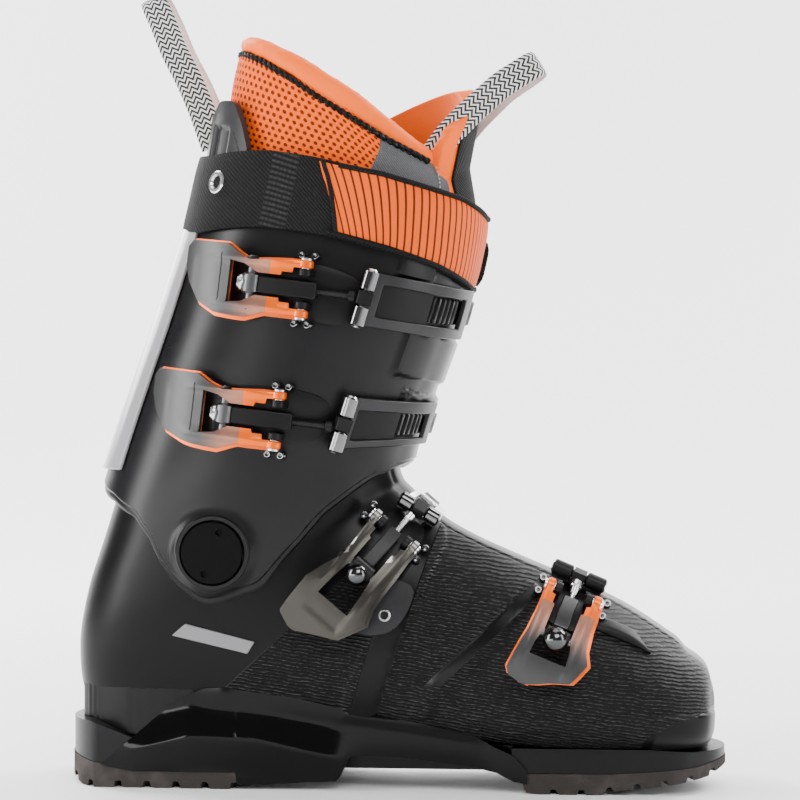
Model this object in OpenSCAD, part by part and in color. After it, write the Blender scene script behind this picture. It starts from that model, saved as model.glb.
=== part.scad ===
// Alpine ski boot, right foot. Toe along +X, medial side +Y, up +Z.
// The origin is on the ground under the middle of the sole.

/* [Sole] */
// Overall length of the sole, toe lug to heel lug
sole_len = 305; // [300:1:310]
// Width of the toe lug
toe_lug_w = 69; // [67:0.5:71]
// Width of the heel lug
heel_lug_w = 70; // [68:0.5:72]
// Height of the toe ledge above the ground
toe_ledge_z = 19; // [18:0.5:20]
// Height of the heel ledge above the ground
heel_ledge_z = 30; // [29:0.5:31]

/* [Walls] */
// Thickness of the lower shell
shell_wall = 4; // [3.5:0.1:4.2]
// Thickness of the cuff
cuff_wall = 4.4; // [4:0.1:4.6]
// Gap between the lower shell and the cuff
cuff_gap = 3.6; // [3.4:0.1:3.8]
// Thickness of the liner padding
liner_wall = 5; // [4:0.5:6]

/* [Cuff pivot] */
// Distance of the pivot behind the middle of the sole
pivot_back = 77.4; // [76:0.2:79]
// Height of the pivot above the ground
pivot_z = 109.3; // [108:0.1:111]
// Radius of the pivot bolt
pivot_r = 6; // [5:0.5:7]
// Radius of the cap over the bolt
cap_r = 13.8; // [12:0.2:15]

/* [Buckles] */
// Distance from the lever hinge to the barrel
barrel_arm = 23; // [21:0.5:24]
// Radius of the hinge pins
pin_r = 2; // [1.6:0.1:2.2]
// Radial clearance of everything that turns
running = 0.05; // [0.02:0.01:0.09]

/* [Hidden] */
$fn = 48;

// ---- The boot's surface --------------------------------------------------
// Each station is a slice from the sole or back of the boot to its instep or
// front: [back x, back z, front x, front z, half width, squareness, pear shape].
STATIONS = [
    [146, 26, 146.5, 48, 19, 2.8, 0.00],
    [142, 21, 143, 57, 33, 3.0, 0.05],
    [128, 19, 130, 66, 43, 3.0, 0.08],
    [105, 18, 107, 81, 50, 2.9, 0.10],
    [76, 18, 82, 93, 53, 2.8, 0.12],
    [45, 19, 56, 104, 50, 2.7, 0.12],
    [10, 20, 36, 113, 45, 2.6, 0.08],
    [-35, 20, 22, 121, 42, 2.6, 0.02],
    [-85, 20, 12, 129, 41, 2.6, -0.04],
    [-127, 22, 6, 135, 41, 2.5, -0.06],
    [-146, 37, 2, 139, 42, 2.4, -0.06],
    [-150, 62, 0, 143, 44, 2.4, -0.05],
    [-146, 88, -1, 147, 45.5, 2.4, -0.04],
    [-138, 113, -1, 151, 46.5, 2.4, -0.02],
    [-130, 138, 0, 156, 47.5, 2.4, 0],
    [-122, 162, 2, 163, 48.5, 2.4, 0],
    [-113, 187, 5, 173, 50, 2.4, 0],
    [-104, 212, 10, 188, 51, 2.4, 0],
    [-96, 236, 17, 207, 52, 2.4, 0],
    [-89, 258, 23, 227, 52, 2.4, 0],
    [-84, 279, 28, 246, 51, 2.4, 0],
    [-80, 300, 31, 264, 50, 2.4, 0],
    [-77, 322, 29, 280, 48, 2.4, 0],
    [-73, 340, 22, 292, 46, 2.4, 0]];
LAST = len(STATIONS) - 1;

// One smooth slice between the stations (Catmull-Rom)
function slice(t) =
    let (i = min(max(floor(t), 0), LAST - 1), f = t - i,
         p0 = STATIONS[max(i - 1, 0)], p1 = STATIONS[i],
         p2 = STATIONS[i + 1], p3 = STATIONS[min(i + 2, LAST)])
    0.5 * (2 * p1 + (p2 - p0) * f + (2 * p0 - 5 * p1 + 4 * p2 - p3) * f * f
           + (3 * p1 - p0 - 3 * p2 + p3) * f * f * f);

function power(x, p) = sign(x) * pow(abs(x), p);

// A point on the surface: t runs from the toe to the top, and s once round
// the slice: 0 sole or back, 0.25 lateral side, 0.5 front, 0.75 medial side.
function skin(t, s) =
    let (q = slice(t), c = power(cos(360 * s), 2 / q[5]),
         y = -power(sin(360 * s), 2 / q[5]) * q[4] * (1 + q[6] * c), h = (1 - c) / 2)
    [q[0] + (q[2] - q[0]) * h, y, q[1] + (q[3] - q[1]) * h];

// The same point, moved outwards from the surface
function layer(t, s, out) =
    let (e = 0.02, along = skin(min(t + e, LAST), s) - skin(max(t - e, 0), s),
         round = skin(t, s + 0.004) - skin(t, s - 0.004), n = cross(round, along))
    skin(t, s) + n / norm(n) * out;

// ---- Solids made on the surface ------------------------------------------
// A closed solid between two grids of points, outer then inner, each rows by cols
// cells. keep(i, j) says which cells are solid; wrap joins the last column to the first.
module grid_solid(points, rows, cols, keep, wrap = false) {
    n = wrap ? cols : cols + 1;
    half = (rows + 1) * n;
    function at(i, j) = i * n + (wrap ? (j + cols) % cols : j);
    function solid(i, j) = i >= 0 && i < rows && (wrap || (j >= 0 && j < cols)) && keep(i, j);
    function wall(p, q) = [[p, q + half, p + half], [p, q, q + half]];
    polyhedron(points, [for (i = [0 : rows - 1], j = [0 : cols - 1]) if (solid(i, j))
        let (a = at(i, j), b = at(i, j + 1), c = at(i + 1, j + 1), d = at(i + 1, j))
        each concat(
            [[a, c, b], [a, d, c], [half + a, half + b, half + c], [half + a, half + c, half + d]],
            solid(i - 1, j) ? [] : wall(a, b), solid(i, j + 1) ? [] : wall(b, c),
            solid(i + 1, j) ? [] : wall(c, d), solid(i, j - 1) ? [] : wall(d, a))]);
}
all_cells = function(i, j) true;

// A panel of the surface between two layers, from t0 to t1 and from s0 to s1.
// slant moves t along the panel's length.
module panel(t0, t1, s0, s1, inner, outer, nt = 4, ns = 8, slant = 0, keep = all_cells)
    grid_solid([for (out = [outer, inner], i = [0 : nt], j = [0 : ns])
        let (s = s0 + (s1 - s0) * j / ns)
        layer(t0 + (t1 - t0) * i / nt + slant * (s - s0), s, out)], nt, ns, keep);

// A sleeve all round the boot; low(s) and high(s) give its two edges
module sleeve(low, high, inner, outer, nt, ns = 28)
    grid_solid([for (out = [outer, inner], i = [0 : nt], j = [0 : ns - 1])
        let (s = j / ns)
        layer(low(s) + (high(s) - low(s)) * i / nt, s, out)], nt, ns, all_cells, true);

// An edge that runs from one t at the back to another at the front
function edge(back, front) = function(s) back + (front - back) * (1 - cos(360 * s)) / 2;

// A cup closed at the toe: the outer skin starts at t0, the inner one at t0_in
module cup(t0, t0_in, high, inner, outer, nt, ns = 28) {
    half = (nt + 1) * ns;
    points = [for (side = [[t0, outer], [t0_in, inner]], i = [0 : nt], j = [0 : ns - 1])
        layer(side[0] + (high(j / ns) - side[0]) * i / nt, j / ns, side[1])];
    middles = [for (side = [[t0, outer], [t0_in, inner]])
        (layer(side[0], 0, side[1]) + layer(side[0], 0.5, side[1])) / 2];
    polyhedron(concat(points, middles), concat(
        [for (i = [0 : nt - 1], j = [0 : ns - 1])
            let (k = (j + 1) % ns, a = i * ns + j, b = i * ns + k, c = b + ns, d = a + ns)
            each [[a, c, b], [a, d, c], [half + a, half + b, half + c], [half + a, half + c, half + d]]],
        [for (j = [0 : ns - 1])
            let (k = (j + 1) % ns, top = nt * ns)
            each [[2 * half, j, k], [2 * half + 1, half + k, half + j],
                  [top + j, half + top + k, top + k], [top + j, half + top + j, half + top + k]]]));
}

// A slab seen from the side: an outline in x and z, pushed out between y0 and y1
module side_slab(outline, y0 = -100, y1 = 100)
    translate([0, y1, 0]) rotate([90, 0, 0]) linear_extrude(y1 - y0) polygon(outline);

// A round bar between two points
module bar(p, q, r)
    let (d = q - p)
    translate(p) rotate([0, acos(d[2] / norm(d)), atan2(d[1], d[0])]) cylinder(h = norm(d), r = r);

// ---- Lower shell and sole ------------------------------------------------
toe_x = sole_len / 2;
heel_x = -sole_len / 2;
toe_r = toe_lug_w / 2;
heel_r = heel_lug_w / 2;

// Plan of the toe lug and of the heel lug, with round ends
module toe_plan(grow = 0) {
    translate([toe_x - toe_r, 0]) circle(r = toe_r + grow);
    translate([56, -toe_r - grow]) square([toe_x - toe_r - 56, 2 * (toe_r + grow)]);
}
module heel_plan(grow = 0) {
    intersection() {
        translate([heel_x + 46, 0]) circle(r = 46 + grow);
        translate([heel_x - 5, -heel_r - grow]) square([60, 2 * (heel_r + grow)]);
    }
    translate([heel_x + 30, -heel_r - grow]) square([54, 2 * (heel_r + grow)]);
}

// Side outlines of the rubber soles; the toe is rockered
TOE_SOLE = [[60, 9], [62, 0.8], [68, 0], [92, 0], [107, 2.6], [130, 5], [144, 7.5],
            [toe_x + 1, 11.5], [toe_x + 1, 15], [139, 12.2], [101, 9.4]];
HEEL_SOLE = [[heel_x - 1, 13.8], [heel_x - 1, 3.5], [-143, 0], [-70, 0], [-69, 7.6],
             [-119, 7.6], [-129, 10.3]];
// Side outlines of the lugs above them, which belong to the shell
TOE_LUG = [[56, 9.2], [101, 9.6], [139, 12.4], [toe_x + 1, 15.2], [toe_x + 1, toe_ledge_z],
           [138, toe_ledge_z], [120, 20.6], [56, 20.4]];
HEEL_LUG = [[heel_x - 1, 14], [-129, 10.5], [-119, 7.8], [-69, 7.8], [-69, 21.8], [-118, 22.6],
            [-138, heel_ledge_z], [heel_x - 1, heel_ledge_z]];

module pivot_bore(r, y0, y1)
    translate([-pivot_back, y1, pivot_z]) rotate([90, 0, 0]) cylinder(h = y1 - y0, r = r);

// Behind each binding ledge the shell is cut back and a block rises straight up.
// The cuts reach 1 mm below the ledges, so none of the shell is left standing on them.
ledge_depth = 7.5;
module toe_step() intersection() {
    translate([toe_x - toe_r, 0, 16]) cylinder(h = 9, r = toe_r - ledge_depth);
    translate([toe_x - 20, -20, 0]) cube([20, 40, 40]);
}
HEEL_STEP = [[heel_x + ledge_depth, 26], [-131, 26], [-136, 31], [-140.5, 36], [-142.5, 40],
             [-143, 44], [heel_x + ledge_depth, 44]];
module heel_step() side_slab(HEEL_STEP, -22, 22);

module lower_shell() color([0.06, 0.06, 0.065]) difference() {
    union() {
        toe_step();
        heel_step();
        difference() {
            cup(0, 1.3, edge(14.5, 12.8), -shell_wall, 0, 26, 32);
            translate([toe_x - 16.5, -40, toe_ledge_z - 1]) cube([30, 80, 4.5]);
            translate([heel_x - 5, -40, heel_ledge_z - 1]) cube([5 + 14.6, 80, 4]);
        }
        intersection() {
            side_slab(TOE_LUG);
            linear_extrude(40) toe_plan();
        }
        intersection() {
            side_slab(HEEL_LUG);
            linear_extrude(40) heel_plan();
        }
        side_slab([[-69.5, 9], [56.5, 9.5], [56.5, 20.8], [-69.5, 20.8]], -27, 27);
    }
    pivot_bore(pivot_r, -60, 60);
    for (x = [84, 118, -88, -128], y = [-20, 20])
        translate([x, y, -1]) cylinder(h = 19, r = 2);
}

// Side outline of the glossy cladding
CLADDING = [[-133, 10.6], [-122, 20], [-108, 32], [-90, 44], [-82, 46], [-66, 45], [-43, 42],
            [-25, 38], [16, 31], [43, 24.6], [49, 18.7], [57, 16.5], [59, 10], [50, 9.4],
            [36, 12], [0, 15.6], [-20, 14], [-27, 9.4], [-67, 8]];
// Its foot reaches down to the ground in front of the heel
CLADDING_FOOT = [[-67, 1.8], [-24, 4.4], [-19, 12], [-17, 25.5], [-67.5, 25.5]];
module cladding(side) color([0.02, 0.02, 0.02]) difference() {
    union() {
        intersection() {
            panel(4.6, 9.8, side < 0 ? 0.02 : 0.75, side < 0 ? 0.25 : 0.98, 0.3, 3.3, 20, 8);
            side_slab(CLADDING);
        }
        side_slab(CLADDING_FOOT, min(side * 27.4, side * 34), max(side * 27.4, side * 34));
    }
    translate([0, 0, -1]) linear_extrude(heel_ledge_z + 1.3) heel_plan(0.3);
    translate([0, 0, -1]) linear_extrude(toe_ledge_z + 2) toe_plan(0.3);
    translate([-69.8, -27.3, -1]) cube([126.6, 54.6, 22.1]);
}

// The rubber soles are drilled and counterbored for their screws
module sole_holes(xs) for (x = xs, y = [-20, 20]) translate([x, y, -1]) {
    cylinder(h = 30, r = 2);
    cylinder(h = 5.5, r = 4.2);
}
module toe_sole() color([0.28, 0.26, 0.25]) difference() {
    intersection() {
        side_slab(TOE_SOLE);
        linear_extrude(30) toe_plan(0.4);
    }
    sole_holes([84, 118]);
    for (x = [76, 100]) side_slab([[x - 3, -1], [x - 1.5, 2.5], [x + 1.5, 2.5], [x + 3, -1]]);
}
module heel_sole() color([0.28, 0.26, 0.25]) difference() {
    intersection() {
        side_slab(HEEL_SOLE);
        linear_extrude(30) heel_plan(0.4);
    }
    sole_holes([-88, -128]);
    for (x = [-112, -100, -78]) side_slab([[x - 3, -1], [x - 1.5, 2.5], [x + 1.5, 2.5], [x + 3, -1]]);
}
module sole_screws(xs) color([0.6, 0.6, 0.6]) for (x = xs, y = [-20, 20]) difference() {
    union() {
        translate([x, y, 4.5]) cylinder(h = 12, r = 2);
        translate([x, y, 2.6]) cylinder(h = 1.9, r = 4);
    }
    translate([x, y, 2]) cylinder(h = 1.6, r = 1.6, $fn = 6);
}

// The board on the floor of the shell, under the liner
module bootboard() color([0.3, 0.3, 0.3])
    panel(2.6, 8.3, -0.05, 0.05, -shell_wall - 2.3, -shell_wall - 0.7, 10, 4);

// ---- Liner ---------------------------------------------------------------
liner_foot_out = -shell_wall - 2.9;
module liner_foot() color([0.1, 0.1, 0.1])
    cup(1.9, 2.8, edge(14.3, 12.9), liner_foot_out - liner_wall + 1, liner_foot_out, 20, 24);
module liner_leg() color([0.1, 0.1, 0.1])
    sleeve(edge(15.2, 15.9), edge(22, 22), -6.5 - liner_wall, -1.5, 10, 24);

// The padded roll round the top of the liner, higher at the back
module liner_collar() color([1, 0.45, 0.12])
    sleeve(edge(22.1, 22.1), edge(23, 23), -6.5 - liner_wall, 0.5, 4, 28);
// The tongue stands in front of the shin
module liner_tongue() color([0.1, 0.1, 0.1])
    panel(20, 22.9, 0.44, 0.56, 1.6, 5, 6, 6);

// ---- Cuff ----------------------------------------------------------------
cuff_in = cuff_gap;
cuff_out = cuff_gap + cuff_wall;
// The cuff's lower edge: t for each s from the back to the front, with a lobe at the pivot
CUFF_EDGE = [[0, 14], [0.1, 13.6], [0.15, 13.2], [0.18, 12.6], [0.2, 11.9], [0.22, 11.1],
             [0.24, 10.2], [0.27, 9.6], [0.31, 10.3], [0.34, 11], [0.4, 11.9], [0.5, 12.6]];
cuff_low = function(s) lookup(min(s, 1 - s), CUFF_EDGE);
boss_y = 55.2;

module cuff() color([0.05, 0.05, 0.055]) difference() {
    union() {
        sleeve(cuff_low, edge(19.6, 19.6), cuff_in, cuff_out, 18, 40);
        pivot_bore(16, -boss_y, -50.5);
        pivot_bore(16, 50.5, boss_y);
    }
    pivot_bore(pivot_r + running, -60, 60);
}

// A bolt through the cuff into the shell, with a cap that has two spanner holes
module pivot_bolt(side) color([0.04, 0.04, 0.04]) difference() {
    union() {
        pivot_bore(pivot_r, min(side * 39, side * 56), max(side * 39, side * 56));
        pivot_bore(cap_r, min(side * 55.5, side * 57.5), max(side * 55.5, side * 57.5));
    }
    for (a = [70, 250]) translate([cap_r * 0.72 * cos(a), 0, cap_r * 0.72 * sin(a)])
        pivot_bore(1.6, min(side * 55.9, side * 60), max(side * 55.9, side * 60));
}

module spine_insert() color([0.7, 0.7, 0.72])
    panel(14.2, 19, -0.045, 0.09, cuff_out + 0.4, cuff_out + 2.2, 10, 8);
module spoiler() color([0.2, 0.2, 0.2])
    panel(19.8, 22.2, -0.13, 0.13, cuff_in + 0.2, cuff_out - 0.4, 6, 10);

// ---- Power strap and pull loops ------------------------------------------
strap_in = cuff_out + 0.3;
strap_out = strap_in + 3;
module power_strap() color([0.06, 0.06, 0.06])
    sleeve(edge(19.1, 19.1), edge(20.8, 20.8), strap_in, strap_out, 4, 32);
// The strap's free end is laid over the band on the medial side
module strap_end() color([0.08, 0.08, 0.08])
    panel(19.4, 20.5, 0.53, 0.82, strap_out + 0.3, strap_out + 3.8, 3, 14);
module strap_rivet() color([0.7, 0.7, 0.7])
    bar(layer(19.9, 0.125, strap_out), layer(19.9, 0.125, strap_out + 1.5), 5);

// A band of webbing that goes up on one side of the boot and down on the other.
// Its side outline is pushed out to the loop's width, and the gap is cut from below.
loop_w = 30;
webbing = 2.4;
module pull_loop(outline, gap_top) color([0.15, 0.15, 0.15]) difference() {
    side_slab(outline, -loop_w / 2, loop_w / 2);
    translate([-200, -loop_w / 2 + webbing, 0]) cube([400, loop_w - 2 * webbing, gap_top]);
}
REAR_LOOP = [[-93, 311], [-103, 332], [-113, 353], [-118.5, 364], [-117, 367.5], [-106, 367.5],
             [-97, 347], [-87.5, 322], [-87.5, 311]];
TONGUE_LOOP = [[22, 294], [34, 306], [48, 324], [58, 337], [70, 334], [62, 321], [50, 306], [38, 294]];

// ---- Buckles -------------------------------------------------------------
// Buckle: [hinge point, pull direction above level, turn about the hinge,
//          radius of the lever's curve, length of the lever, wall it sits on,
//          t of the catch, its half height in t, s where the catch starts, its slant,
//          height of the hinge above the wall, t and s of the base plate]
BUCKLES = [
    [[-34.5, -67, 227], -7, -15, 66, 56, cuff_out, 18.45, 0.55, 0.31, 1.5, 6.8, 18.3, 0.26],
    [[-47, -64.5, 169], -7, -14, 66, 57, cuff_out, 15.5, 0.85, 0.33, 1.5, 7.4, 15.5, 0.27],
    [[3.1, -38, 118.2], 50, 11, 70, 61, 0, 7.9, 0.8, 0.42, 0, 6, 8, 0.385],
    [[84.2, -42.6, 90.9], 68, 22, 46, 46, 0, 3.95, 0.42, 0.43, 0, 9.7, 3.99, 0.41]];
lever_t = 3;
arm_in = 9.2;
arm_out = 13;
knuckle_r = 3.6;
// Barrel axis, along the lever and outwards from the hinge
BARREL = [-barrel_arm, -5.5];
catch_end = 0.495;

module at_buckle(b) translate(b[0]) rotate([0, -b[1], 0]) rotate([0, 0, b[2]]) children();

// Two short cylinders parallel to the hinge, from z0 to z1 on both sides
module both_sides(p, r, z0, z1) for (side = [-1, 1])
    translate([p[0], p[1], side > 0 ? z0 : -z1]) cylinder(h = z1 - z0, r = r);

// Outline of a lever: two arms from the hinge to a slanted handle
module lever_outline(length) difference() {
    polygon([[2, arm_out], [-27, arm_out], [-36, 16.5], [4 - length, 16], [-length, 8],
             [8 - length, -10], [16 - length, -15.5], [-26, -15.5], [-18, -arm_out], [2, -arm_out]]);
    translate([-barrel_arm - 10, -arm_in]) square([60, 2 * arm_in]);
}
module lever(b) color([0.3, 0.3, 0.31]) {
    mid = -b[4] / 2;
    centre = sqrt(b[3] * b[3] - mid * mid);
    at_buckle(b) difference() {
        union() {
            intersection() {
                translate([0, 40, 0]) rotate([90, 0, 0]) linear_extrude(80) lever_outline(b[4]);
                translate([mid, centre, 0]) difference() {
                    cylinder(h = 60, r = b[3] + lever_t / 2, center = true, $fn = 96);
                    cylinder(h = 61, r = b[3] - lever_t / 2, center = true, $fn = 96);
                }
            }
            both_sides([0, 0], knuckle_r, arm_in, arm_out);
            both_sides(BARREL, knuckle_r, arm_in, arm_out);
        }
        both_sides([0, 0], pin_r + running, arm_in - 1, arm_out + 1);
        both_sides(BARREL, pin_r + running, arm_in - 1, arm_out + 1);
    }
}

function turned(v, a) = [v[0] * cos(a) - v[1] * sin(a), v[0] * sin(a) + v[1] * cos(a), v[2]];
function pitched(v, a) = [v[0] * cos(a) - v[2] * sin(a), v[1], v[0] * sin(a) + v[2] * cos(a)];
function buckle_point(b, v) = b[0] + pitched(turned(v, b[2]), b[1]);

// A plate riveted to the wall, with two posts that hold the hinge pins and a
// slot between them for the rod
module base(b) color([0.08, 0.08, 0.08]) difference() {
    union() {
        panel(b[11] - b[7] * 0.8, b[11] + b[7] * 0.8, b[12] - 0.05, b[12] + 0.03,
              b[5] + 0.1, b[5] + 1.6, 3, 4, 0, function(i, j) i != 1 || j == 3);
        for (z = [-7.3, 7.3])
            bar(buckle_point(b, [0, 0, z]), buckle_point(b, [0, b[10] - 0.4, z]), 1.6);
        at_buckle(b) both_sides([0, 0], 3.2, 5.6, arm_in - 0.2);
    }
    at_buckle(b) both_sides([0, 0], pin_r, 5, arm_in);
}
module pins(b) color([0.75, 0.75, 0.75]) at_buckle(b) both_sides([0, 0], pin_r, 5.6, arm_out + 0.6);

// The cross tube of the catch, a little above the wall
link_out = 9.2;
link_r = 3.6;
function link_point(b) = layer(b[6], b[8], b[5] + link_out);

// The barrel turns in the lever; its sleeve and threaded rod reach the catch
module rod(b) color([0.6, 0.6, 0.6]) {
    start = buckle_point(b, [BARREL[0], BARREL[1], 0]);
    reach = link_point(b) - start;
    dir = reach / norm(reach);
    at_buckle(b) translate([BARREL[0], BARREL[1], 0]) {
        cylinder(h = 15, r = 4.2, center = true);
        cylinder(h = 2 * arm_out, r = pin_r, center = true);
    }
    bar(start, start + dir * norm(reach) * 0.7, 2.4);
    bar(start, start + dir * (norm(reach) - link_r - 0.1), 1.8);
}
// The catch is a frame with a window, carried on a cross tube
module catch(b) color([0.4, 0.4, 0.4]) {
    panel(b[6] - b[7], b[6] + b[7], b[8], catch_end, b[5] + 3.8, b[5] + 6.4, 5, 8, b[9],
          function(i, j) i == 0 || i == 4 || j == 0 || j == 7);
    bar(layer(b[6] - b[7] * 1.04, b[8], b[5] + link_out),
        layer(b[6] + b[7] * 1.04, b[8], b[5] + link_out), link_r);
}
// A row of teeth on the far flap
module ladder(b) color([0.05, 0.05, 0.05])
    panel(b[6] - b[7] * 0.5, b[6] + b[7] * 0.5, 0.46, 0.56, b[5] + 0.2, b[5] + 3.4, 2, 8, b[9]);

lower_shell();
cladding(-1);  // chassis_lateral
cladding(1);  // chassis_medial
toe_sole();
heel_sole();
sole_screws([84, 118]);  // toe_sole_screws
sole_screws([-88, -128]);  // heel_sole_screws
bootboard();
liner_foot();
pivot_bolt(-1);  // pivot_lateral
pivot_bolt(1);  // pivot_medial
cuff();
spine_insert();
spoiler();
liner_leg();
liner_collar();
liner_tongue();
power_strap();
strap_end();
strap_rivet();
pull_loop(REAR_LOOP, 361);  // rear_loop
pull_loop(TONGUE_LOOP, 329);  // tongue_loop
for (i = [0 : 3]) {
    base(BUCKLES[i]);
    pins(BUCKLES[i]);
    lever(BUCKLES[i]);
    rod(BUCKLES[i]);
    catch(BUCKLES[i]);
    ladder(BUCKLES[i]);
}
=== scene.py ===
"""Looks of an alpine ski boot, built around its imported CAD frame. Units are metres."""

import math
from collections import namedtuple

import bmesh
import bpy
import numpy as np
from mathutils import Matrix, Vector


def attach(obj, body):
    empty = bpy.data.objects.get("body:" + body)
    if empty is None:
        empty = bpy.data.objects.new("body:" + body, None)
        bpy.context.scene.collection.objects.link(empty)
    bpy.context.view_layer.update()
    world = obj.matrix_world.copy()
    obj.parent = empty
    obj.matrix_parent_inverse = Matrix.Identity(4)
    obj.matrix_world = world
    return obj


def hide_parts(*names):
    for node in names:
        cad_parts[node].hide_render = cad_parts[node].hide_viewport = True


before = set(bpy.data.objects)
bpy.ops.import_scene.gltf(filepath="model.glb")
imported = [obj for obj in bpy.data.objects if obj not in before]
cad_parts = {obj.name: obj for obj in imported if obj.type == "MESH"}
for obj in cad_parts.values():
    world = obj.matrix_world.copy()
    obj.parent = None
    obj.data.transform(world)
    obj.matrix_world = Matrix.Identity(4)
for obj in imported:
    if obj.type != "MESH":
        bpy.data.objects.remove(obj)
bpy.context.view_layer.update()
MM = 0.001
TAU = 2 * math.pi
UV_NAME = "surface_mm"

# ---- The boot's surface, as in the CAD model ------------------------------------------------
# Each station is a slice from the sole or back of the boot to its instep or front, in mm:
# back x, back z, front x, front z, half width, squareness, pear shape.
STATIONS = np.array([
    [146, 26, 146.5, 48, 19, 2.8, 0.00],
    [142, 21, 143, 57, 33, 3.0, 0.05],
    [128, 19, 130, 66, 43, 3.0, 0.08],
    [105, 18, 107, 81, 50, 2.9, 0.10],
    [76, 18, 82, 93, 53, 2.8, 0.12],
    [45, 19, 56, 104, 50, 2.7, 0.12],
    [10, 20, 36, 113, 45, 2.6, 0.08],
    [-35, 20, 22, 121, 42, 2.6, 0.02],
    [-85, 20, 12, 129, 41, 2.6, -0.04],
    [-127, 22, 6, 135, 41, 2.5, -0.06],
    [-146, 37, 2, 139, 42, 2.4, -0.06],
    [-150, 62, 0, 143, 44, 2.4, -0.05],
    [-146, 88, -1, 147, 45.5, 2.4, -0.04],
    [-138, 113, -1, 151, 46.5, 2.4, -0.02],
    [-130, 138, 0, 156, 47.5, 2.4, 0],
    [-122, 162, 2, 163, 48.5, 2.4, 0],
    [-113, 187, 5, 173, 50, 2.4, 0],
    [-104, 212, 10, 188, 51, 2.4, 0],
    [-96, 236, 17, 207, 52, 2.4, 0],
    [-89, 258, 23, 227, 52, 2.4, 0],
    [-84, 279, 28, 246, 51, 2.4, 0],
    [-80, 300, 31, 264, 50, 2.4, 0],
    [-77, 322, 29, 280, 48, 2.4, 0],
    [-73, 340, 22, 292, 46, 2.4, 0]])
LAST = len(STATIONS) - 1


def slice_at(t):
    """The seven numbers of a slice at each t, smooth between the stations."""
    t = np.asarray(t, float)
    i = np.clip(np.floor(t).astype(int), 0, LAST - 1)
    f = (t - i)[..., None]
    p0, p1 = STATIONS[np.maximum(i - 1, 0)], STATIONS[i]
    p2, p3 = STATIONS[i + 1], STATIONS[np.minimum(i + 2, LAST)]
    bend = (2 * p0 - 5 * p1 + 4 * p2 - p3) * f * f + (3 * p1 - p0 - 3 * p2 + p3) * f ** 3
    return 0.5 * (2 * p1 + (p2 - p0) * f + bend)


def signed_power(x, p):
    return np.sign(x) * np.abs(x) ** p


def skin(t, s):
    """Points on the surface in mm. t runs from the toe to the top, s once round each slice:
    0 sole or back, 0.25 lateral side, 0.5 front, 0.75 medial side."""
    t, s = np.broadcast_arrays(np.asarray(t, float), np.asarray(s, float))
    q = slice_at(t)
    c = signed_power(np.cos(TAU * s), 2 / q[..., 5])
    y = -signed_power(np.sin(TAU * s), 2 / q[..., 5]) * q[..., 4] * (1 + q[..., 6] * c)
    h = (1 - c) / 2
    return np.stack([q[..., 0] + (q[..., 2] - q[..., 0]) * h, y,
                     q[..., 1] + (q[..., 3] - q[..., 1]) * h], -1)


def outward(t, s):
    t, s = np.broadcast_arrays(np.asarray(t, float), np.asarray(s, float))
    step = 0.02
    along = skin(np.minimum(t + step, LAST), s) - skin(np.maximum(t - step, 0), s)
    around = skin(t, s + 0.004) - skin(t, s - 0.004)
    n = np.cross(around, along)
    return n / np.linalg.norm(n, axis=-1, keepdims=True)


def layer(t, s, out=0.0):
    """The surface moved outwards by out, in mm."""
    return skin(t, s) + outward(t, s) * np.asarray(out, float)[..., None]


# ---- Meshes ----------------------------------------------------------------------------------
def mesh_object(name, points_mm, faces, material, uv=None):
    """An object from points in mm. uv holds one pair per point, in mm along the surface."""
    mesh = bpy.data.meshes.new(name)
    mesh.from_pydata((np.asarray(points_mm, float) * MM).tolist(), [], faces)
    if uv is not None:
        pairs = np.asarray(uv, float)
        loops = np.empty(len(mesh.loops), int)
        mesh.loops.foreach_get("vertex_index", loops)
        mesh.uv_layers.new(name=UV_NAME).data.foreach_set("uv", pairs[loops].ravel())
    for m in material if isinstance(material, (list, tuple)) else [material]:
        mesh.materials.append(m)
    mesh.update()
    obj = bpy.data.objects.new(name, mesh)
    bpy.context.scene.collection.objects.link(obj)
    smooth(obj)
    return obj


def smooth(obj, angle=35):
    """Smooth shading with sharp edges where faces meet at more than the angle."""
    bm = bmesh.new()
    bm.from_mesh(obj.data)
    bmesh.ops.recalc_face_normals(bm, faces=bm.faces)
    for face in bm.faces:
        face.smooth = True
    limit = math.radians(angle)
    for edge in bm.edges:
        edge.smooth = len(edge.link_faces) == 2 and edge.calc_face_angle(0) < limit
    bm.to_mesh(obj.data)
    bm.free()


def pick_material(obj, rule):
    """Gives the faces that the rule picks, from number and polygon, the second material."""
    ids = [int(rule(k, poly)) for k, poly in enumerate(obj.data.polygons)]
    obj.data.polygons.foreach_set("material_index", ids)


def bevel(obj, width_mm, segments=3, angle=50):
    mod = obj.modifiers.new("edges", "BEVEL")
    mod.width = width_mm * MM
    mod.segments = segments
    mod.limit_method = "ANGLE"
    mod.angle_limit = math.radians(angle)
    return obj


def settle(obj):
    """Applies every modifier, so that the piece's mesh is its final one."""
    depsgraph = bpy.context.evaluated_depsgraph_get()
    mesh = bpy.data.meshes.new_from_object(obj.evaluated_get(depsgraph))
    obj.modifiers.clear()
    obj.data = mesh
    return obj


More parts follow.
